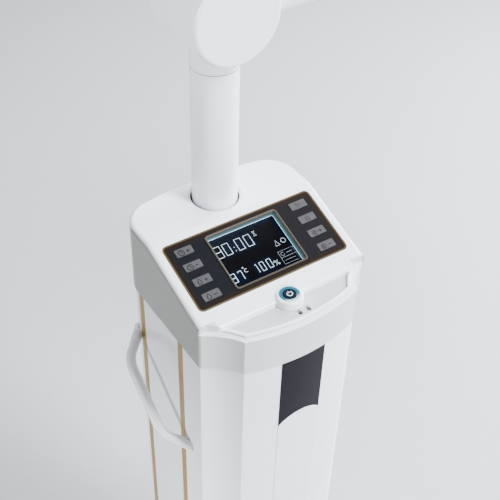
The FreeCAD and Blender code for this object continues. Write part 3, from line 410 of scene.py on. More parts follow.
# ---- Strips, insets and gold trims -----------------------
# A dark satin strip and a long glossy white one are bonded into the front groove. Glossy
# insets and slim gold anodised mouldings are set into the sides.

def dark_strip_finish():
    """Dark film with a faint sheen and fine lines along its length."""
    finish = Finish("dark_strip_film")
    lines = finish.streaks((1200.0, 1200.0, 6.0), 2.0)
    tone = finish.mix(lines, (0.004, 0.0035, 0.006), (0.006, 0.0055, 0.009))
    return finish.done(tone, Roughness=0.42 + 0.1 * lines, Specular_IOR_Level=0.08,
                       Normal=finish.bump(lines, 0.00001))


def gloss_strip(name, colour):
    """Polished acrylic strip with faint polishing haze."""
    finish = Finish(name)
    haze = finish.noise(14.0, 5.0)
    ripple = finish.noise(25.0, 1.0)
    tone = finish.mix(haze, colour, shade(colour, 0.96))
    return finish.done(tone, Roughness=0.1 + 0.08 * haze, Normal=finish.bump(ripple, 0.0002),
                       Coat_Weight=0.6, Coat_Roughness=0.05)


def gold_anodised(face_x, lip):
    """Brushed anodised aluminium, with a painted highlight along its rounded outer edges."""
    finish = Finish("gold_anodised")
    lines = finish.streaks((4000.0, 4000.0, 25.0))
    across = abs(finish.split(finish.place())[0])
    # Painted highlight: paler along the rounded outer edges.
    edge = 1.0 - across.step(face_x - lip, face_x - lip * 0.2)
    tone = finish.mix(lines, (0.30, 0.185, 0.05), (0.40, 0.265, 0.09))
    tone = finish.mix(edge, tone, (0.60, 0.43, 0.20))
    return finish.done(tone, Metallic=0.85, Roughness=0.3 + 0.16 * lines,
                       Normal=finish.bump(lines, 0.000008))


coat_node("front_strip_dark", dark_strip_finish())
coat_node("front_strip_white", gloss_strip("white_acrylic", (0.84, 0.84, 0.90)))
coat_node("side_insets", gloss_strip("inset_acrylic", (0.84, 0.84, 0.86)))
coat_node("gold_trims", gold_anodised(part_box("gold_trims")[1].x, 0.0006))


# ---- Handles ---------------------------------------------
# Each grip is a bent steel rod welded to two round feet and powder painted with the column.
# Hands polish the middle of the grip.

def handle_finish():
    """Powder paint that hands have worn glossier round the middle of the grip."""
    finish = Finish("handle_paint")
    low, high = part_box("handle_left")
    peel = finish.noise(2600.0, 3.0)
    middle = (low.z + high.z) / 2
    reach = (high.z - low.z) / 2
    height = finish.split(finish.place())[2]
    worn = 1.0 - abs(height - middle).step(reach * 0.3, reach * 0.9)
    tone = finish.mix(worn * peel, (0.80, 0.80, 0.82), (0.76, 0.75, 0.75))
    return finish.done(tone, Roughness=0.42 - 0.16 * worn + 0.05 * peel,
                       Normal=finish.bump(peel, 0.00002))


handle_paint = handle_finish()
coat_node("handle_left", handle_paint)
coat_node("handle_right", handle_paint)


# ---- Cover screws ----------------------------------------
# Six plated pan-head screws with cross recesses hold the service cover. Each head is turned
# and its recess punched; their slots stand at the angles at which they were tightened.

SCREW_HEAD_R = 0.0034
SCREW_HEAD_H = 0.002
RECESS_ARM = (0.0042, 0.0009, 0.0012)  # length, width and depth


def screw_head():
    """Pan head on its axis Z with a cross recess, from a lathe profile."""
    profile = [(SCREW_HEAD_R, 0.0), (SCREW_HEAD_R, 0.0008), (SCREW_HEAD_R * 0.93, 0.0014),
               (SCREW_HEAD_R * 0.75, 0.0018), (SCREW_HEAD_R * 0.45, SCREW_HEAD_H)]
    turns = 24                  # faces round the head
    points = [(0, 0, 0)]
    for radius, height in profile:
        for step in range(turns):
            angle = step * math.tau / turns
            points.append((radius * math.cos(angle), radius * math.sin(angle), height))
    points.append((0, 0, SCREW_HEAD_H))
    faces = []
    for step in range(turns):
        after = (step + 1) % turns
        faces.append((0, 1 + after, 1 + step))
        for ring in range(len(profile) - 1):
            lower = 1 + ring * turns
            upper = lower + turns
            faces.append((lower + step, lower + after, upper + after, upper + step))
        last = 1 + (len(profile) - 1) * turns
        faces.append((last + step, last + after, len(points) - 1))
    mesh = bpy.data.meshes.new("screw_head")
    mesh.from_pydata(points, [], faces)
    head = new_object("screw_head", mesh)
    for turned in (0, 90):
        half = [size / 2 for size in RECESS_ARM]
        corners = [(sx * half[0], sy * half[1], SCREW_HEAD_H + sz * RECESS_ARM[2])
                   for sz in (-1, 1) for sy in (-1, 1) for sx in (-1, 1)]
        punch_mesh = bpy.data.meshes.new("punch")
        punch_mesh.from_pydata(corners, [], [(0, 2, 3, 1), (4, 5, 7, 6), (0, 1, 5, 4),
                                             (2, 6, 7, 3), (0, 4, 6, 2), (1, 3, 7, 5)])
        punch_mesh.transform(Matrix.Rotation(math.radians(turned), 4, "Z"))
        punch = new_object("punch", punch_mesh)
        cut = head.modifiers.new("recess", "BOOLEAN")
        cut.operation = "DIFFERENCE"
        cut.object = punch
        head.data = evaluated_mesh(head)
        head.modifiers.clear()
        bpy.data.objects.remove(punch)
    return head


def copies_recipe():
    """Copies of a piece at points, each turned at random about its own axis."""
    recipe = Recipe("turned_copies", Piece="Object", Seed="Int")
    piece = recipe.node("GeometryNodeObjectInfo", {}, "Geometry", Object=recipe.given["Piece"])
    angle = recipe.node("FunctionNodeRandomValue", {"data_type": "FLOAT"}, 1,
                        Seed=recipe.given["Seed"])
    turn = recipe.node("ShaderNodeCombineXYZ", {}, 0, X=math.radians(-90), Y=angle)
    spread = recipe.node("GeometryNodeInstanceOnPoints", {}, 0,
                         Points=recipe.given["Geometry"], Instance=piece, Rotation=turn)
    recipe.close(spread)
    return recipe


screw_plating = bare_metal("screw_plating", (0.68, 0.68, 0.70))
low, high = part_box("cover_screws")
seat_y = high.y - SCREW_HEAD_H
places = [(x, seat_y, z) for x in (low.x + SCREW_HEAD_R, high.x - SCREW_HEAD_R)
          for z in (low.z + SCREW_HEAD_R, (low.z + high.z) / 2, high.z - SCREW_HEAD_R)]
head = screw_head()
heads = copies_recipe().bake("cover_screw_heads", places, Piece=head, Seed=5, Finish=screw_plating)
bpy.data.objects.remove(head)
fit("cover_screw_heads", heads, "cabinet", "screw_steel", "cover_screws")


# ---- Mains inlet and inner pieces ------------------------
# The mains inlet is black plastic with nickel blades. The bracket and the power supply are
# inside the column, seen only through its openings.

BLADE_SIZE = (0.00215, 0.0152, 0.00415)  # width, length and height
BLADE_FRONT = 0.00285  # the blades end this far behind the face of the plate
BLADE_PLACES = ((-0.007, -0.0035), (0.007, -0.0035), (0.0, 0.0005))  # from the middle
BLADE_BEVEL = 0.0003


def bevelled_boxes(name, size, middles, bevel):
    """One mesh of equal boxes with bevelled edges."""
    shape = bmesh.new()
    for middle in middles:
        place = Matrix.Translation(middle) @ Matrix.Diagonal((*size, 1))
        bmesh.ops.create_cube(shape, size=1.0, matrix=place)
    bmesh.ops.bevel(shape, geom=shape.edges[:], offset=bevel, segments=2, affect="EDGES")
    mesh = bpy.data.meshes.new(name)
    shape.to_mesh(mesh)
    shape.free()
    return mesh


coat_node("mains_inlet", nylon("inlet_plastic", (0.02, 0.02, 0.021)))
coat_node("mast_bracket", powder_paint("bracket_paint", (0.04, 0.04, 0.042), 0.5))
coat_node("power_supply", bare_metal("supply_case", (0.60, 0.60, 0.61), 0.4, (8.0, 900.0, 900.0)))
low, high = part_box("mains_inlet")
middle_z = (low.z + high.z) / 2
blade_y = high.y - BLADE_FRONT - BLADE_SIZE[1] / 2
blades = bevelled_boxes("inlet_blades", BLADE_SIZE,
                        [(x, blade_y, middle_z + z) for x, z in BLADE_PLACES], BLADE_BEVEL)
blades.materials.append(bare_metal("blade_nickel", (0.72, 0.70, 0.66), 0.2))
fit("inlet_blades", blades, "cabinet", "screw_steel")


# ---- Control head ----------------------------------------
# The head is one moulding in satin white ABS: sloped panel, button tray with a raised lip,
# a narrow ledge and the hole for the mast. Its walls are given a greyer tone as painted shade,
# with a fine line of painted shade round the mast and a painted cyan glow round the switch.
# The tray floor is darker and rougher.

# Each pair is the band, along one axis, over which one tone gives way to another; most of them
# mark the walls that get painted shade.
SIDE_X = (0.1002, 0.1028)  # from the rounded edge to the flat side
FRONT_Y = (-0.066, -0.064)
FRONT_Z = (0.8522, 0.8532)  # under the ledge
STEP_X = (0.0835, 0.0845)  # the short risers at both ends of the tray
STEP_Y = (-0.0644, -0.0640)
STEP_Z = (0.8532, 0.8536)
LIP_X = (0.0810, 0.0820)  # the outer wall of the tray's lip
LIP_Y = (-0.0745, -0.0735)
LIP_FOOT_Z = (0.8531, 0.8534)
LIP_TOP_Z = (0.8552, 0.8558)
TRAY_Y = (-0.073, -0.072)
TRAY_FOOT_Z = (0.8535, 0.8539)
TRAY_TOP_Z = (0.8541, 0.8545)
HALO_R = (0.0105, 0.0175)  # painted glow of the lit switch on the boss, from its axis outwards
HALO_Y = (-0.002, 0.009)  # and only behind it
HALO_Z = (-0.004, -0.001)  # near the top of the ring
MAST_LINE_R = 0.0288  # a fine line of painted shade round the mast, where a shallow groove would shade
MAST_LINE_HALF = (0.0002, 0.0007)


def from_axis(finish, node):
    """Distance from the upright axis of a round CAD node."""
    middle = middle_of(node)
    x, y, _ = finish.split(finish.place())
    off_x = x - middle.x
    off_y = y - middle.y
    return (off_x * off_x + off_y * off_y) ** 0.5


def past(value, band, base=0.0):
    """0 before the band, 1 beyond it; the band may be measured from a base."""
    return value.step(base + band[0], base + band[1])


def short_of(value, band):
    """1 before the band, 0 beyond it."""
    return 1.0 - past(value, band)


def head_moulding():
    """Satin white ABS; painted shade on the walls and round the mast, painted glow by the switch.
    """
    finish = Finish("head_moulding")
    ring_middle, ring_top = middle_of("button_ring"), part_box("button_ring")[1]
    grain, clouds = moulding_noise(finish)
    x, y, z = finish.split(finish.place())
    across = abs(x)
    line = abs(from_axis(finish, "mast_tube") - MAST_LINE_R)
    # Painted light: the cyan glow of the switch, painted on the boss behind it.
    painted_switch_glow = short_of(from_axis(finish, "button_ring"), HALO_R)
    painted_switch_glow = painted_switch_glow * past(y, HALO_Y, ring_middle.y) * past(z, HALO_Z, ring_top.z)
    # Painted shade: the flat sides, the front under the ledge, the risers at the ends of the tray
    # and the lip's outer wall are made grey and lose the coat.
    front = short_of(y, FRONT_Y) * short_of(z, FRONT_Z)
    step = past(z, STEP_Z) * short_of(y, STEP_Y) * past(across, STEP_X)
    lip = past(z, LIP_FOOT_Z) * short_of(z, LIP_TOP_Z) * short_of(y, LIP_Y)
    lip = lip * short_of(across, LIP_X)
    wall = past(across, SIDE_X) + 0.5 * (front + step + lip)
    floor = past(z, TRAY_FOOT_Z) * short_of(z, TRAY_TOP_Z) * short_of(y, TRAY_Y)
    tone = finish.mix(clouds.step(0.3, 0.75), (0.88, 0.88, 0.92), (0.86, 0.86, 0.90))
    tone = finish.mix(wall, tone, (0.27, 0.265, 0.25))
    tone = finish.mix(floor, tone, (0.50, 0.505, 0.51))
    tone = finish.mix(painted_switch_glow * 0.6, tone, (0.10, 0.52, 0.62))
    # Painted shade: a fine dark line round the mast.
    tone = finish.mix(0.3 - 0.3 * past(line, MAST_LINE_HALF), tone, (0.25, 0.25, 0.27))
    gloss = 0.34 + 0.15 * floor + 0.07 * (clouds - 0.5) + 0.04 * (grain - 0.5)
    return finish.done(tone, Roughness=gloss, Coat_Weight=0.9 - 0.9 * (wall + floor).step(0.0, 1.0),
                       Coat_Roughness=0.08, Normal=finish.bump(grain, 0.000012))


coat_node("head_shell", head_moulding())


# ---- Keypad overlay --------------------------------------
# A polyester film, printed dark on its back with a bronze border line, is bonded into the
# panel's pocket; windows are cut in it for the keys and the display. A browner band beside the
# line is a painted reflection of it, and painted light makes the film lighter towards the right.

PANEL_TILT = math.radians(18.0)
OVERLAY_HALF = (0.092, 0.0415)
OVERLAY_CORNER = 0.006
SHEET_DEPTH = 0.0003  # from the face of the panel down to the middle of the sheet
BORDER = (0.0015, 0.0023)  # inwards from the edge, where the line ends
LINE_REFLECTION = (0.002, 0.0105)  # and where the painted reflection of the line beside it fades
panel_up = Vector((0, -math.sin(PANEL_TILT), math.cos(PANEL_TILT)))
panel_middle = middle_of("keypad_overlay") + panel_up * SHEET_DEPTH
panel_place = Matrix.Translation(panel_middle) @ Matrix.Rotation(PANEL_TILT, 4, "X")
in_mm = Matrix.Diagonal((0.001, 0.001, 0.001, 1))      # for drawings in millimetres
panel_mm = panel_place @ in_mm


def panel_parts(finish):
    """Distances across, up and above the keypad, from its middle, in metres."""
    middle = tuple(panel_middle)
    turned = finish.node("ShaderNodeVectorRotate", {"rotation_type": "X_AXIS"}, finish.place(),
                         middle, Angle=-PANEL_TILT)
    moved = finish.node("ShaderNodeVectorMath", {"operation": "SUBTRACT"}, turned, middle)
    return finish.split(moved)


def edge_distance(across, up, half, corner):
    """Distance inwards from the edge of a rounded rectangle."""
    past_x = abs(across) - (half[0] - corner)
    past_y = abs(up) - (half[1] - corner)
    round_x = past_x.above(0.0)
    round_y = past_y.above(0.0)
    inner = (0.0 - past_x.above(past_y)).above(0.0)
    return corner - (round_x * round_x + round_y * round_y) ** 0.5 + inner


def overlay_print():
    """Dark film, a bronze edge line with its painted reflection, painted light to the right."""
    finish = Finish("overlay_print")
    across, up, _ = panel_parts(finish)
    edge = edge_distance(across, up, OVERLAY_HALF, OVERLAY_CORNER)
    line = short_of(edge, BORDER)
    # Painted reflection: the film is browner beside the bronze line.
    painted_reflection = short_of(edge, LINE_REFLECTION)
    specks = finish.noise(1800.0, 2.0)
    # Painted light: the film grows lighter from left to right, where the light falls.
    ink = finish.mix(painted_reflection, finish.mix(past(across, (-0.09, 0.09)), (0.0035, 0.0043, 0.006),
                                       (0.0055, 0.005, 0.0058)), (0.0085, 0.0048, 0.0025))
    gold = finish.mix(specks, (0.052, 0.038, 0.019), (0.074, 0.056, 0.030))
    return finish.done(finish.mix(line, ink, gold), Roughness=0.42 + 0.1 * specks,
                       Specular_IOR_Level=0.06, Normal=finish.bump(specks, 0.000008))


coat_node("keypad_overlay", overlay_print())


# ---- Keys ------------------------------------------------
# Eight silver-grey keys with dome switches under them. Each carries a dark printed sign: a
# clock or a drop with plus or minus, and start, pause, more light and less light.

KEY_TOP = 0.5  # above the panel; all of these are in mm
INK_THICK = 0.06
INK_WIDTH = 1.0
SIGN_SCALE = 1.3
SIGN_ARM = 1.5  # half the length of the bars of plus and minus
PAIR_X = (-2.6, 3.2)  # places of two signs on a key


def key_finish():
    """Satin silver lacquer with a fine metallic grain, paler where it is worn."""
    finish = Finish("key_lacquer")
    grain = finish.noise(5000.0, 2.0)
    worn = finish.noise(160.0, 3.0).step(0.45, 0.75)
    tone = finish.mix(grain, (0.030, 0.029, 0.032), (0.048, 0.046, 0.048))
    tone = finish.mix(worn * 0.25, tone, (0.10, 0.098, 0.10))
    return finish.done(tone, Metallic=0.2, Roughness=0.45 + 0.12 * grain,
                       Specular_IOR_Level=0.3, Normal=finish.bump(grain, 0.00001))


def printing_ink(name, colour):
    """Pad printing: a matt ink, thinner in places."""
    finish = Finish(name)
    cover = finish.noise(1500.0, 2.0)
    return finish.done(finish.mix(cover, colour, shade(colour, 1.5)), Roughness=0.6 + 0.1 * cover,
                       Specular_IOR_Level=0.1)


def loop(points, closed=True):
    """A path as points with the pairs that join them."""
    pairs = [(i, i + 1) for i in range(len(points) - 1)]
    return points, pairs + [(len(points) - 1, 0)] if closed else pairs


def bend(x, y, radius, first=0, last=360, steps=16):
    """Round path, or part of one, between two angles in degrees."""
    full = last - first == 360
    count = steps if full else steps + 1
    points = []
    for step in range(count):
        angle = math.radians(first + (last - first) * step / steps)
        points.append((x + radius * math.cos(angle), y + radius * math.sin(angle)))
    return loop(points, full)


def stroke(*points):
    """Open path."""
    return loop(list(points), False)


def drawn(name, paths, width, thickness, level, finish, place=panel_mm):
    """Flat bars along paths drawn in millimetres on the panel or at a place, at a level."""
    points = []
    pairs = []
    for path, joins in paths:
        pairs += [(a + len(points), b + len(points)) for a, b in joins]
        points += [(x, y, level) for x, y in path]
    mesh = bars.bake(name, points, pairs, Width=width, Height=thickness, Finish=finish)
    mesh.transform(place)
    return mesh


MINUS = [stroke((-SIGN_ARM, 0), (SIGN_ARM, 0))]
PLUS = MINUS + [stroke((0, -SIGN_ARM), (0, SIGN_ARM))]
CLOCK = [bend(0, 0, 2.4), stroke((0, 1.6), (0, 0), (1.2, 0))]
DROP = [loop([(0, 2.7), (1.4, 0.4), (1.7, -0.9), (0.9, -2.3), (-0.9, -2.3), (-1.7, -0.9),
              (-1.4, 0.4)])]
START = [loop([(-1.8, -2.2), (2.2, 0), (-1.8, 2.2)])]
PAUSE = [stroke((x, -2.1), (x, 2.1)) for x in (-1.3, 1.3)]
SUN = [bend(0, 0, 1.2, steps=12)]
SUN_RAYS = 8
for step in range(SUN_RAYS):
    angle = step * math.tau / SUN_RAYS
    SUN.append(stroke(*[(radius * math.cos(angle), radius * math.sin(angle))
                        for radius in (1.9, 2.8)]))
KEY_SIGNS = {
    "key_left_1": (CLOCK, PLUS), "key_left_2": (CLOCK, MINUS),
    "key_left_3": (DROP, PLUS), "key_left_4": (DROP, MINUS),
    "key_right_1": (START,), "key_right_2": (PAUSE,),
    "key_right_3": (SUN, PLUS), "key_right_4": (SUN, MINUS),
}
key_lacquer = key_finish()
key_ink = printing_ink("key_ink", (0.006, 0.006, 0.010))
for key, signs in KEY_SIGNS.items():
    shifts = PAIR_X if len(signs) == 2 else (0,)
    coat_node(key, key_lacquer)
    middle = panel_mm.inverted() @ middle_of(key)
    placed = [([((x + shift) * SIGN_SCALE + middle.x, y * SIGN_SCALE + middle.y)
                for x, y in path], pairs)
              for paths, shift in zip(signs, shifts) for path, pairs in paths]
    sign = drawn(key.replace("key", "sign"), placed, INK_WIDTH, INK_THICK,
                 KEY_TOP + INK_THICK / 2, key_ink)
    fit(sign.name, sign, key, "inlet_black")


# ---- Display ---------------------------------------------
# A bronze frame leads down a well to the display glass, whose walls carry a painted teal glow.
# The glass is black, with thin outlined digits for time, temperature and power, and a few plain
# signs.

GLASS_LEVEL = -8.5  # mm above the panel, so below it
WINDOW_HALF = (0.0425, 0.0325)
LINE_HEIGHT = 0.0011  # painted bright line of glow where the well meets the glass
RIM = (-0.0008, -0.0004)  # where the bronze ends and the painted glow of the wall begins, below the panel
# Middles and half sizes of the fields that the digits light.
LEAKS = (((-0.0115, 0.016), (0.018, 0.008)), ((-0.031, -0.018), (0.007, 0.006)),
         ((0.001, -0.018), (0.010, 0.006)))
LEAK_SOFT = 0.004
STROKE = 0.55  # from here on in mm
FINE_STROKE = 0.32
LIT_THICK = 0.12
TIME_FIGURES = (("3", -38.9), ("0", -28.4), ("0", -13.1), ("0", -1.8))  # and left edges
TIME_SIZE = (7.1, 14.0)
TIME_Y = 8.7
LOWER_FIGURES = (("3", -38.8, 4.7), ("7", -29.7, 4.1), ("1", -10.4, 3.0),
                 ("0", -3.4, 4.4), ("0", 5.2, 4.6))  # the same, and widths
LOWER_HEIGHT = 10.6
LOWER_Y = -23.2
DOT = 1.0  # height of a dot of the colon


def bronze_well():
    """Bronze frame; below it the well's walls get a painted teal glow, brightest at the glass."""
    finish = Finish("bezel_bronze")
    across, up, above = panel_parts(finish)
    grain = finish.noise(2500.0, 3.0)
    beams = finish.streaks((700.0, 60.0, 60.0), 2.0)
    floor = GLASS_LEVEL / 1000
    bronze = finish.mix(grain, (0.034, 0.028, 0.019), (0.052, 0.043, 0.030))
    # Painted light: the walls glow teal, in streaks like beams, as if lit by the display.
    depth = 1.0 - above.step(floor + LINE_HEIGHT, -0.001)
    wall = finish.mix(depth * (0.15 + 1.2 * beams), (0.03, 0.04, 0.045), (0.035, 0.145, 0.185))
    line = 1.0 - above.step(floor + LINE_HEIGHT * 0.6, floor + LINE_HEIGHT)
    wall = finish.mix(line, wall, (0.75, 0.93, 1.0))
    inside = short_of(above, RIM)
    light = finish.mix(inside, (0.0, 0.0, 0.0), wall)
    return finish.done(finish.mix(inside, bronze, wall), Roughness=0.4 + 0.12 * grain,
                       Specular_IOR_Level=0.25, Emission_Color=light,
                       Emission_Strength=1.2, Normal=finish.bump(grain, 0.000008))


def near(across, up, middle, half):
    """1 inside a rectangle on the panel and 0 outside it, with soft edges."""
    share = short_of(abs(across - middle[0]), (half[0], half[0] + LEAK_SOFT))
    return share * short_of(abs(up - middle[1]), (half[1], half[1] + LEAK_SOFT))


def display_face():
    """Black glass, a little blue where the light of the digits leaks."""
    finish = Finish("display_face")
    across, up, _ = panel_parts(finish)
    leak = finish.noise(90.0, 3.0)
    first, second, third = [near(across, up, *field) for field in LEAKS]
    edge = short_of(edge_distance(across, up, WINDOW_HALF, 0.002), (0.0, 0.007))
    light = ((first + second + third) * 0.5 + edge) * (0.4 + leak)
    tone = finish.mix(light, (0.001, 0.001, 0.0015), (0.001, 0.004, 0.012))
    return finish.done(tone, Roughness=0.2 + 0.05 * leak, Specular_IOR_Level=0.1,
                       Emission_Color=finish.mix(light, (0.0, 0.0, 0.0), (0.001, 0.010, 0.032)),
                       Emission_Strength=0.5)


def lit(name, low_colour, high_colour, strength):
    """Lit segment, a little uneven."""
    finish = Finish(name)
    uneven = finish.noise(400.0, 2.0)
    tone = finish.mix(uneven, low_colour, high_colour)
    return finish.done(tone, Roughness=0.4 + 0.1 * uneven, Emission_Color=tone,
                       Emission_Strength=strength)


def digit(figure, x, y, width, height):
    """Figure drawn with straight strokes, its lower left corner at x, y."""
    right = x + width
    top = y + height
    half = y + height / 2
    flag, drop = (1.3, 0.9)     # of the one's flag, across and in height
    hook, lean = (1.2, 0.4)     # of the seven: its left end, and its foot
    if figure == "0":
        return [loop([(x, y), (right, y), (right, top), (x, top)])]
    if figure == "1":
        return [stroke((right - flag, top - drop), (right, top), (right, y))]
    if figure == "3":
        return [stroke((x, top), (right, top), (right, y), (x, y)),
                stroke((x, half), (right, half))]
    return [stroke((x, top - hook), (x, top), (right, top), (right - lean, y))]


time_line = [path for figure, x in TIME_FIGURES for path in digit(figure, x, TIME_Y, *TIME_SIZE)]
time_line += [stroke((-16.9, y), (-16.9, y + DOT)) for y in (9.6, 14.2)]
lower_line = [path for figure, x, width in LOWER_FIGURES
              for path in digit(figure, x, LOWER_Y, width, LOWER_HEIGHT)]
degree = [bend(-22.0, -10.6, 0.6, steps=8), bend(-20.0, -14.8, 2.0, 50, 310)]
percent = [bend(13.0, -18.6, 0.9, steps=10), bend(16.8, -22.3, 0.9, steps=10),
           stroke((13.3, -23.4), (16.9, -17.4))]
hourglass = [loop([(9.8, 23.6), (13.2, 23.6), (9.8, 18.0), (13.2, 18.0)])]
lamp_signs = [loop([(25.0, -3.0), (30.4, -3.0), (27.7, 3.4)]), bend(36.1, 0.4, 2.8)]
fine_signs = degree + percent + hourglass + lamp_signs
box_signs = [loop([(22.3, -26.2), (40.6, -26.2), (40.6, -10.1), (22.3, -10.1)]),
             stroke((22.3, -18.1), (40.6, -18.1)), bend(26.4, -14.1, 2.0, 40, 350),
             stroke((31.0, -14.1), (38.2, -14.1)), stroke((25.0, -22.1), (38.2, -22.1))]
lit_level = GLASS_LEVEL + LIT_THICK / 2
bright = lit("lit_segment", (0.42, 0.55, 0.62), (0.55, 0.64, 0.70), 0.6)
dimmer = lit("dim_segment", (0.20, 0.25, 0.29), (0.27, 0.32, 0.36), 0.35)
for name, paths, width, finish in (("time_digits", time_line, STROKE, bright),
                                   ("lower_digits", lower_line, STROKE, bright),
                                   ("display_signs", fine_signs, FINE_STROKE, bright),
                                   ("display_boxes", box_signs, FINE_STROKE * 0.8, dimmer)):
    segments = drawn(name, paths, width, LIT_THICK, lit_level, finish)
    fit(name, segments, "cabinet", "display_glass")
coat_node("lcd_bezel", bronze_well())
coat_node("lcd_module", display_face())
coat_node("control_board", nylon("board_green", (0.02, 0.12, 0.05)))


# ---- Power switch and indicators -------------------------
# A lit push switch stands in the boss: a translucent ring round a dark blue cap with a white
# power sign. Two small indicator lamps in front of it are marked ON and OFF.

MARK_SIZE = 0.0029
MARK_BOLD = 0.00009  # the strokes are widened by this on each side
MARK_THICK = 0.00003
MARK_BACK = 0.0025  # the marks stand this far behind the lamps
MARK_LEFT = 0.0012  # and start this far left of them
LAMP_RISE = 0.0003  # the lamps stand this far above the tray
RING_PRINT = 0.9  # width in mm of the black ring round each lamp
POWER_STROKE = 0.6  # in mm
RIM_R = (0.0099, 0.0104)  # where the silver rim of the lit ring begins
LIT_Y = (-0.009, -0.003)  # where its light turns cyan, from the axis


def lit_ring():
    """Translucent ring: cyan at the back, pale in front, with a silver outer rim."""
    finish = Finish("lit_ring")
    y = finish.split(finish.place())[1]
    back = past(y, LIT_Y, middle_of("button_ring").y)
    haze = finish.noise(300.0, 3.0)
    glow = finish.mix(back, (0.22, 0.36, 0.37), (0.0, 0.03, 0.045))
    shine = finish.mix(back, (0.08, 0.34, 0.38), (0.0, 0.19, 0.31))
    rim = past(from_axis(finish, "button_ring"), RIM_R) * (1.0 - back)
    tone = finish.mix(rim, glow, finish.mix(haze, (0.70, 0.68, 0.70), (0.80, 0.79, 0.80)))
    light = finish.mix(rim, shine, (0.0, 0.0, 0.0))
    return finish.done(tone, Roughness=0.3 + 0.1 * haze, Specular_IOR_Level=0.15,
                       Emission_Color=light, Emission_Strength=0.9)


def cap_blue():
    """Smooth dark blue plastic."""
    finish = Finish("cap_blue")
    grain = finish.noise(2000.0, 2.0)
    tone = finish.mix(grain, (0.0003, 0.003, 0.009), (0.0005, 0.005, 0.013))
    return finish.done(tone, Roughness=0.25 + 0.05 * grain, Specular_IOR_Level=0.05)


def printed_word(word, corner, finish):
    """A word in flat ink with its lower left corner at a point."""
    curve = bpy.data.curves.new(word, "FONT")
    curve.body = word
    curve.size = MARK_SIZE
    curve.extrude = MARK_THICK
    curve.offset = MARK_BOLD
    curve.materials.append(finish)
    written = new_object(word, curve)
    mesh = evaluated_mesh(written)
    bpy.data.objects.remove(written)
    mesh.transform(Matrix.Translation(corner))
    return mesh


coat_node("button_ring", lit_ring())
coat_node("power_button", cap_blue())
coat_node("indicator_lights", nylon("indicator_lens", (0.012, 0.012, 0.014)))
low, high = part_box("power_button")
sign_place = Matrix.Translation(((low.x + high.x) / 2, (low.y + high.y) / 2, high.z))
sign_ink = printing_ink("sign_white", (0.72, 0.76, 0.80))
power_sign = drawn("power_sign", [bend(0, -0.3, 2.9, 125, 415, 24), stroke((0, 3.6), (0, 0.9))],
                   POWER_STROKE, INK_THICK, INK_THICK, sign_ink, sign_place @ in_mm)
fit("power_sign", power_sign, "power_button", "button_blue")
low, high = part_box("indicator_lights")
lamp_r = (high.y - low.y) / 2
tray_z = high.z - LAMP_RISE
rings = [bend(x * 1000, (low.y + high.y) * 500, lamp_r * 1000 + RING_PRINT / 2)
         for x in (low.x + lamp_r, high.x - lamp_r)]
ring_marks = drawn("lamp_rings", rings, RING_PRINT, INK_THICK, tray_z * 1000 + INK_THICK / 2,
                   key_ink, in_mm)
fit("lamp_rings", ring_marks, "cabinet", "inlet_black")
mark_ink = printing_ink("mark_ink", (0.03, 0.03, 0.035))
for word, x in (("ON", low.x), ("OFF", high.x - 2 * lamp_r)):
    corner = Vector((x - MARK_LEFT, high.y + MARK_BACK - MARK_SIZE / 2, tray_z + MARK_THICK))
    mark = printed_word(word, corner, mark_ink)
    fit(f"mark_{word.lower()}", mark, "cabinet", "inlet_black")


# ---- Mast and elbow --------------------------------------
# A 50 mm steel tube stands in its bracket, with a dark joint line under the cast elbow. The
# elbow turns on a spindle, and two rounded caps close the drum in which the arm is hinged.

def column_enamel(name, share=1.0, seam=None):
    """Glossy white enamel, the same on every casting of the arm, a little apart in tone."""
    return powder_paint(name, shade((0.82, 0.82, 0.86), share), 0.34, 1.0, seam)


elbow_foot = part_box("elbow_housing")[0].z
coat_node("mast_tube", column_enamel("mast_enamel", 1.0, elbow_foot))
coat_node("swivel_spindle", bare_metal("spindle_steel", (0.60, 0.60, 0.61)))
coat_node("elbow_housing", column_enamel("elbow_enamel", 0.995))
coat_node("elbow_cap_front", column_enamel("front_cap_enamel", 1.01))
coat_node("elbow_cap_rear", column_enamel("rear_cap_enamel", 1.01))
coat_node("elbow_axle", bare_metal("axle_steel", (0.60, 0.60, 0.61)))


# ---- Arm, wrist and yoke ---------------------------------
# The arm tube is bonded onto the knuckle and ends in the wrist drum; the folded yoke swings
# on a steel axle with low round heads.

coat_node("arm_knuckle", column_enamel("knuckle_enamel"))
coat_node("arm_tube", column_enamel("arm_enamel", 0.99))
coat_node("wrist_axle", bare_metal("wrist_steel", (0.66, 0.66, 0.68)))
coat_node("lamp_yoke", powder_paint("yoke_paint", (0.83, 0.83, 0.86), 0.38))


# ---- Lamp ------------------------------------------------
# Three shallow mouldings joined by pin hinges. Each holds a white board with rows of domed
# light diodes, behind a clear acrylic cover that is snapped into the rim.

LED_ROWS = 8
LED_ROW_PITCH = 0.037
LED_RADIUS = 0.0025
LED_FACE = -0.0207  # the boards' faces, below the top of the shells
CENTRE_LEDS = (5, 0.024)  # columns and their pitch
WING_LEDS = (4, 0.025)
WING_MIDDLE = 0.154  # from the middle of the centre shell, when flat
WING_HINGE = (0.082, -0.0195)  # hinge axis across and in height, from the same middle
WING_ANGLE = math.radians(20.0)


def board_white():
    """White solder mask over glass cloth: a fine weave and fine darker tracks."""
    finish = Finish("board_white")
    weave = finish.streaks((900.0, 900.0, 900.0), 1.0)
    tracks = finish.streaks((60.0, 420.0, 60.0), 1.0).step(0.52, 0.56)
    tone = finish.mix(tracks * 0.5, (0.62, 0.63, 0.61), (0.40, 0.44, 0.41))
    return finish.done(tone, Roughness=0.4 + 0.1 * weave, Normal=finish.bump(weave, 0.00002))


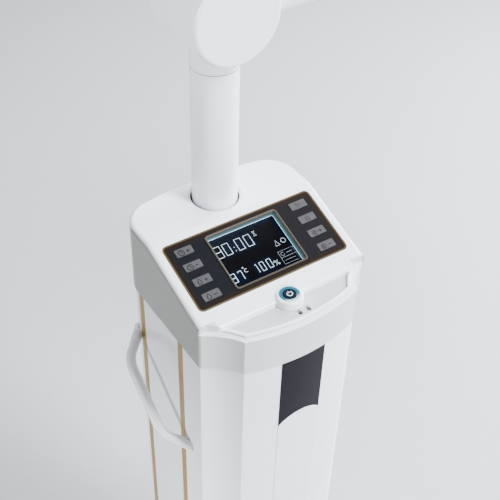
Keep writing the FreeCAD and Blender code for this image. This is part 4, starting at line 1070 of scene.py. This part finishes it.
def clear_cover():
    """Clear acrylic with a faint haze."""
    finish = Finish("clear_cover")
    haze = finish.noise(30.0, 3.0)
    return finish.done(finish.mix(haze, (0.83, 0.88, 0.92), (0.88, 0.93, 0.96)),
                       Roughness=0.08 + 0.05 * haze, Alpha=0.12 + 0.06 * haze)


def diode_resin():
    """Water-clear resin dome over a pale chip."""
    finish = Finish("diode_resin")
    depth = finish.noise(1500.0, 2.0)
    return finish.done(finish.mix(depth, (0.30, 0.34, 0.37), (0.42, 0.45, 0.46)),
                       Roughness=0.08 + 0.06 * depth, Coat_Weight=0.5)


def dome_recipe():
    """Half balls that hang down from points."""
    recipe = Recipe("diode_domes", Radius="Float")
    ball = recipe.node("GeometryNodeMeshUVSphere", {}, 0, Segments=12, Rings=6,
                       Radius=recipe.given["Radius"])
    spread = recipe.node("GeometryNodeInstanceOnPoints", {}, 0,
                         Points=recipe.given["Geometry"], Instance=ball)
    recipe.close(spread)
    return recipe


def diode_places(columns, pitch):
    """Rows and columns on a board, from its middle; the rows lie along Y."""
    return [Vector(((column - (columns - 1) / 2) * pitch,
                    (row - (LED_ROWS - 1) / 2) * LED_ROW_PITCH, LED_FACE))
            for row in range(LED_ROWS) for column in range(columns)]


def wing_frame(side):
    """From the flat wing's own middle to the lamp's frame, for the side -1 or 1."""
    hinge = Vector((side * WING_HINGE[0], 0, WING_HINGE[1]))
    turn = Matrix.Rotation(side * WING_ANGLE, 4, "Y")
    flat = Matrix.Translation((side * WING_MIDDLE, 0, 0))
    return Matrix.Translation(hinge) @ turn @ Matrix.Translation(-hinge) @ flat


lamp_white = moulded("lamp_moulding", (0.84, 0.84, 0.87), 0.34)
solder_mask = board_white()
cover_clear = clear_cover()
for node in ("lamp_body", "wing_left", "wing_right"):
    coat_node(node, lamp_white)
for node in ("centre", "left", "right"):
    coat_node(f"led_board_{node}", solder_mask)
    coat_node(f"lens_{node}", cover_clear)
coat_node("hinge_pins", bare_metal("pin_steel", (0.62, 0.62, 0.63)))
low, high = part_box("lamp_body")
lamp_top = Vector(((low.x + high.x) / 2, (low.y + high.y) / 2, high.z))
lamp_place = Matrix.Translation(lamp_top) @ Matrix.Rotation(math.radians(-90), 4, "Z")
domes = dome_recipe()
resin = diode_resin()
for body, (columns, pitch), place in (("lamp", CENTRE_LEDS, Matrix()),
                                      ("wing_left", WING_LEDS, wing_frame(-1)),
                                      ("wing_right", WING_LEDS, wing_frame(1))):
    leds = domes.bake("diodes", diode_places(columns, pitch), Radius=LED_RADIUS, Finish=resin)
    leds.transform(lamp_place @ place)
    fit(f"diodes_{body}", leds, body, "led_white")


# ---- Floor, light and camera -----------------------------
# A plain pale floor, soft light from square panels, two small ones that pick out the elbow
# and the column, and the camera in front, high and to the left.

def studio_floor():
    """Matt grey board, a little mottled."""
    finish = Finish("studio_floor")
    grain = finish.noise(40.0, 4.0)
    return finish.done(finish.mix(grain, (0.42, 0.42, 0.425), (0.45, 0.45, 0.455)), Roughness=0.8)


def flat_floor(half):
    """Square floor under the object, from its middle to half its width."""
    mesh = bpy.data.meshes.new("floor")
    mesh.from_pydata([(-half, -half, 0), (half, -half, 0), (half, half, 0), (-half, half, 0)], [],
                     [(0, 1, 2, 3)])
    mesh.materials.append(studio_floor())
    new_object("floor", mesh)


def soft_light(name, place, size, power, target=(0, 0, 0.9), spread=180):
    """Square light panel aimed at the control head, or at the target given."""
    light = bpy.data.lights.new(name, "AREA")
    light.size = size
    light.energy = power
    light.color = (0.93, 0.96, 1.0)
    light.spread = math.radians(spread)
    made = new_object(name, light)
    made.location = place
    aim = Vector(target) - Vector(place)
    made.rotation_euler = aim.to_track_quat("-Z", "Y").to_euler()


def camera_at(place, azimuth, elevation, roll, lens, shift):
    """Camera that looks from the azimuth and elevation given, turned by the roll."""
    a, e, r = (math.radians(angle) for angle in (azimuth, elevation, roll))
    back = Vector((math.sin(a) * math.cos(e), -math.cos(a) * math.cos(e), math.sin(e)))
    right = Vector((0, 0, 1)).cross(back).normalized()
    up = back.cross(right)
    turned_right = right * math.cos(r) + up * math.sin(r)
    turned_up = up * math.cos(r) - right * math.sin(r)
    data = bpy.data.cameras.new("camera")
    data.sensor_width = 36.0
    data.lens = lens
    data.shift_x, data.shift_y = shift
    data.clip_end = 50.0
    made = new_object("camera", data)
    turn = Matrix((turned_right, turned_up, back)).transposed().to_4x4()
    made.matrix_world = Matrix.Translation(place) @ turn
    bpy.context.scene.camera = made


flat_floor(6.0)
soft_light("key_light", (2.8, 0.2, 1.6), 1.6, 400.0)
soft_light("top_light", (0.8, -1.5, 2.9), 0.8, 175.0)
soft_light("front_light", (1.0, -2.4, 1.9), 0.9, 115.0)
soft_light("rear_light", (0.5, 2.4, 2.4), 1.8, 50.0)
soft_light("side_light", (2.0, 1.6, 2.6), 1.6, 50.0)
soft_light("elbow_light", (-2.2, 0.2, 1.6), 0.5, 1.6, target=(-0.05, 0.05, 1.22), spread=14)
soft_light("column_light", (-2.4, -0.4, 0.45), 0.5, 1.6, target=(-0.1, 0.0, 0.48), spread=18)
world = bpy.data.worlds.new("studio")
world.use_nodes = True
sky = world.node_tree.nodes["Background"].inputs
sky["Color"].default_value = (0.86, 0.88, 0.92, 1)
sky["Strength"].default_value = 0.25
bpy.context.scene.world = world
camera_at(Vector((-0.4201, -0.6067, 1.5295)), azimuth=-33.294, elevation=42.026, roll=0.882,
          lens=67.585, shift=(0.0347, 0.0045))
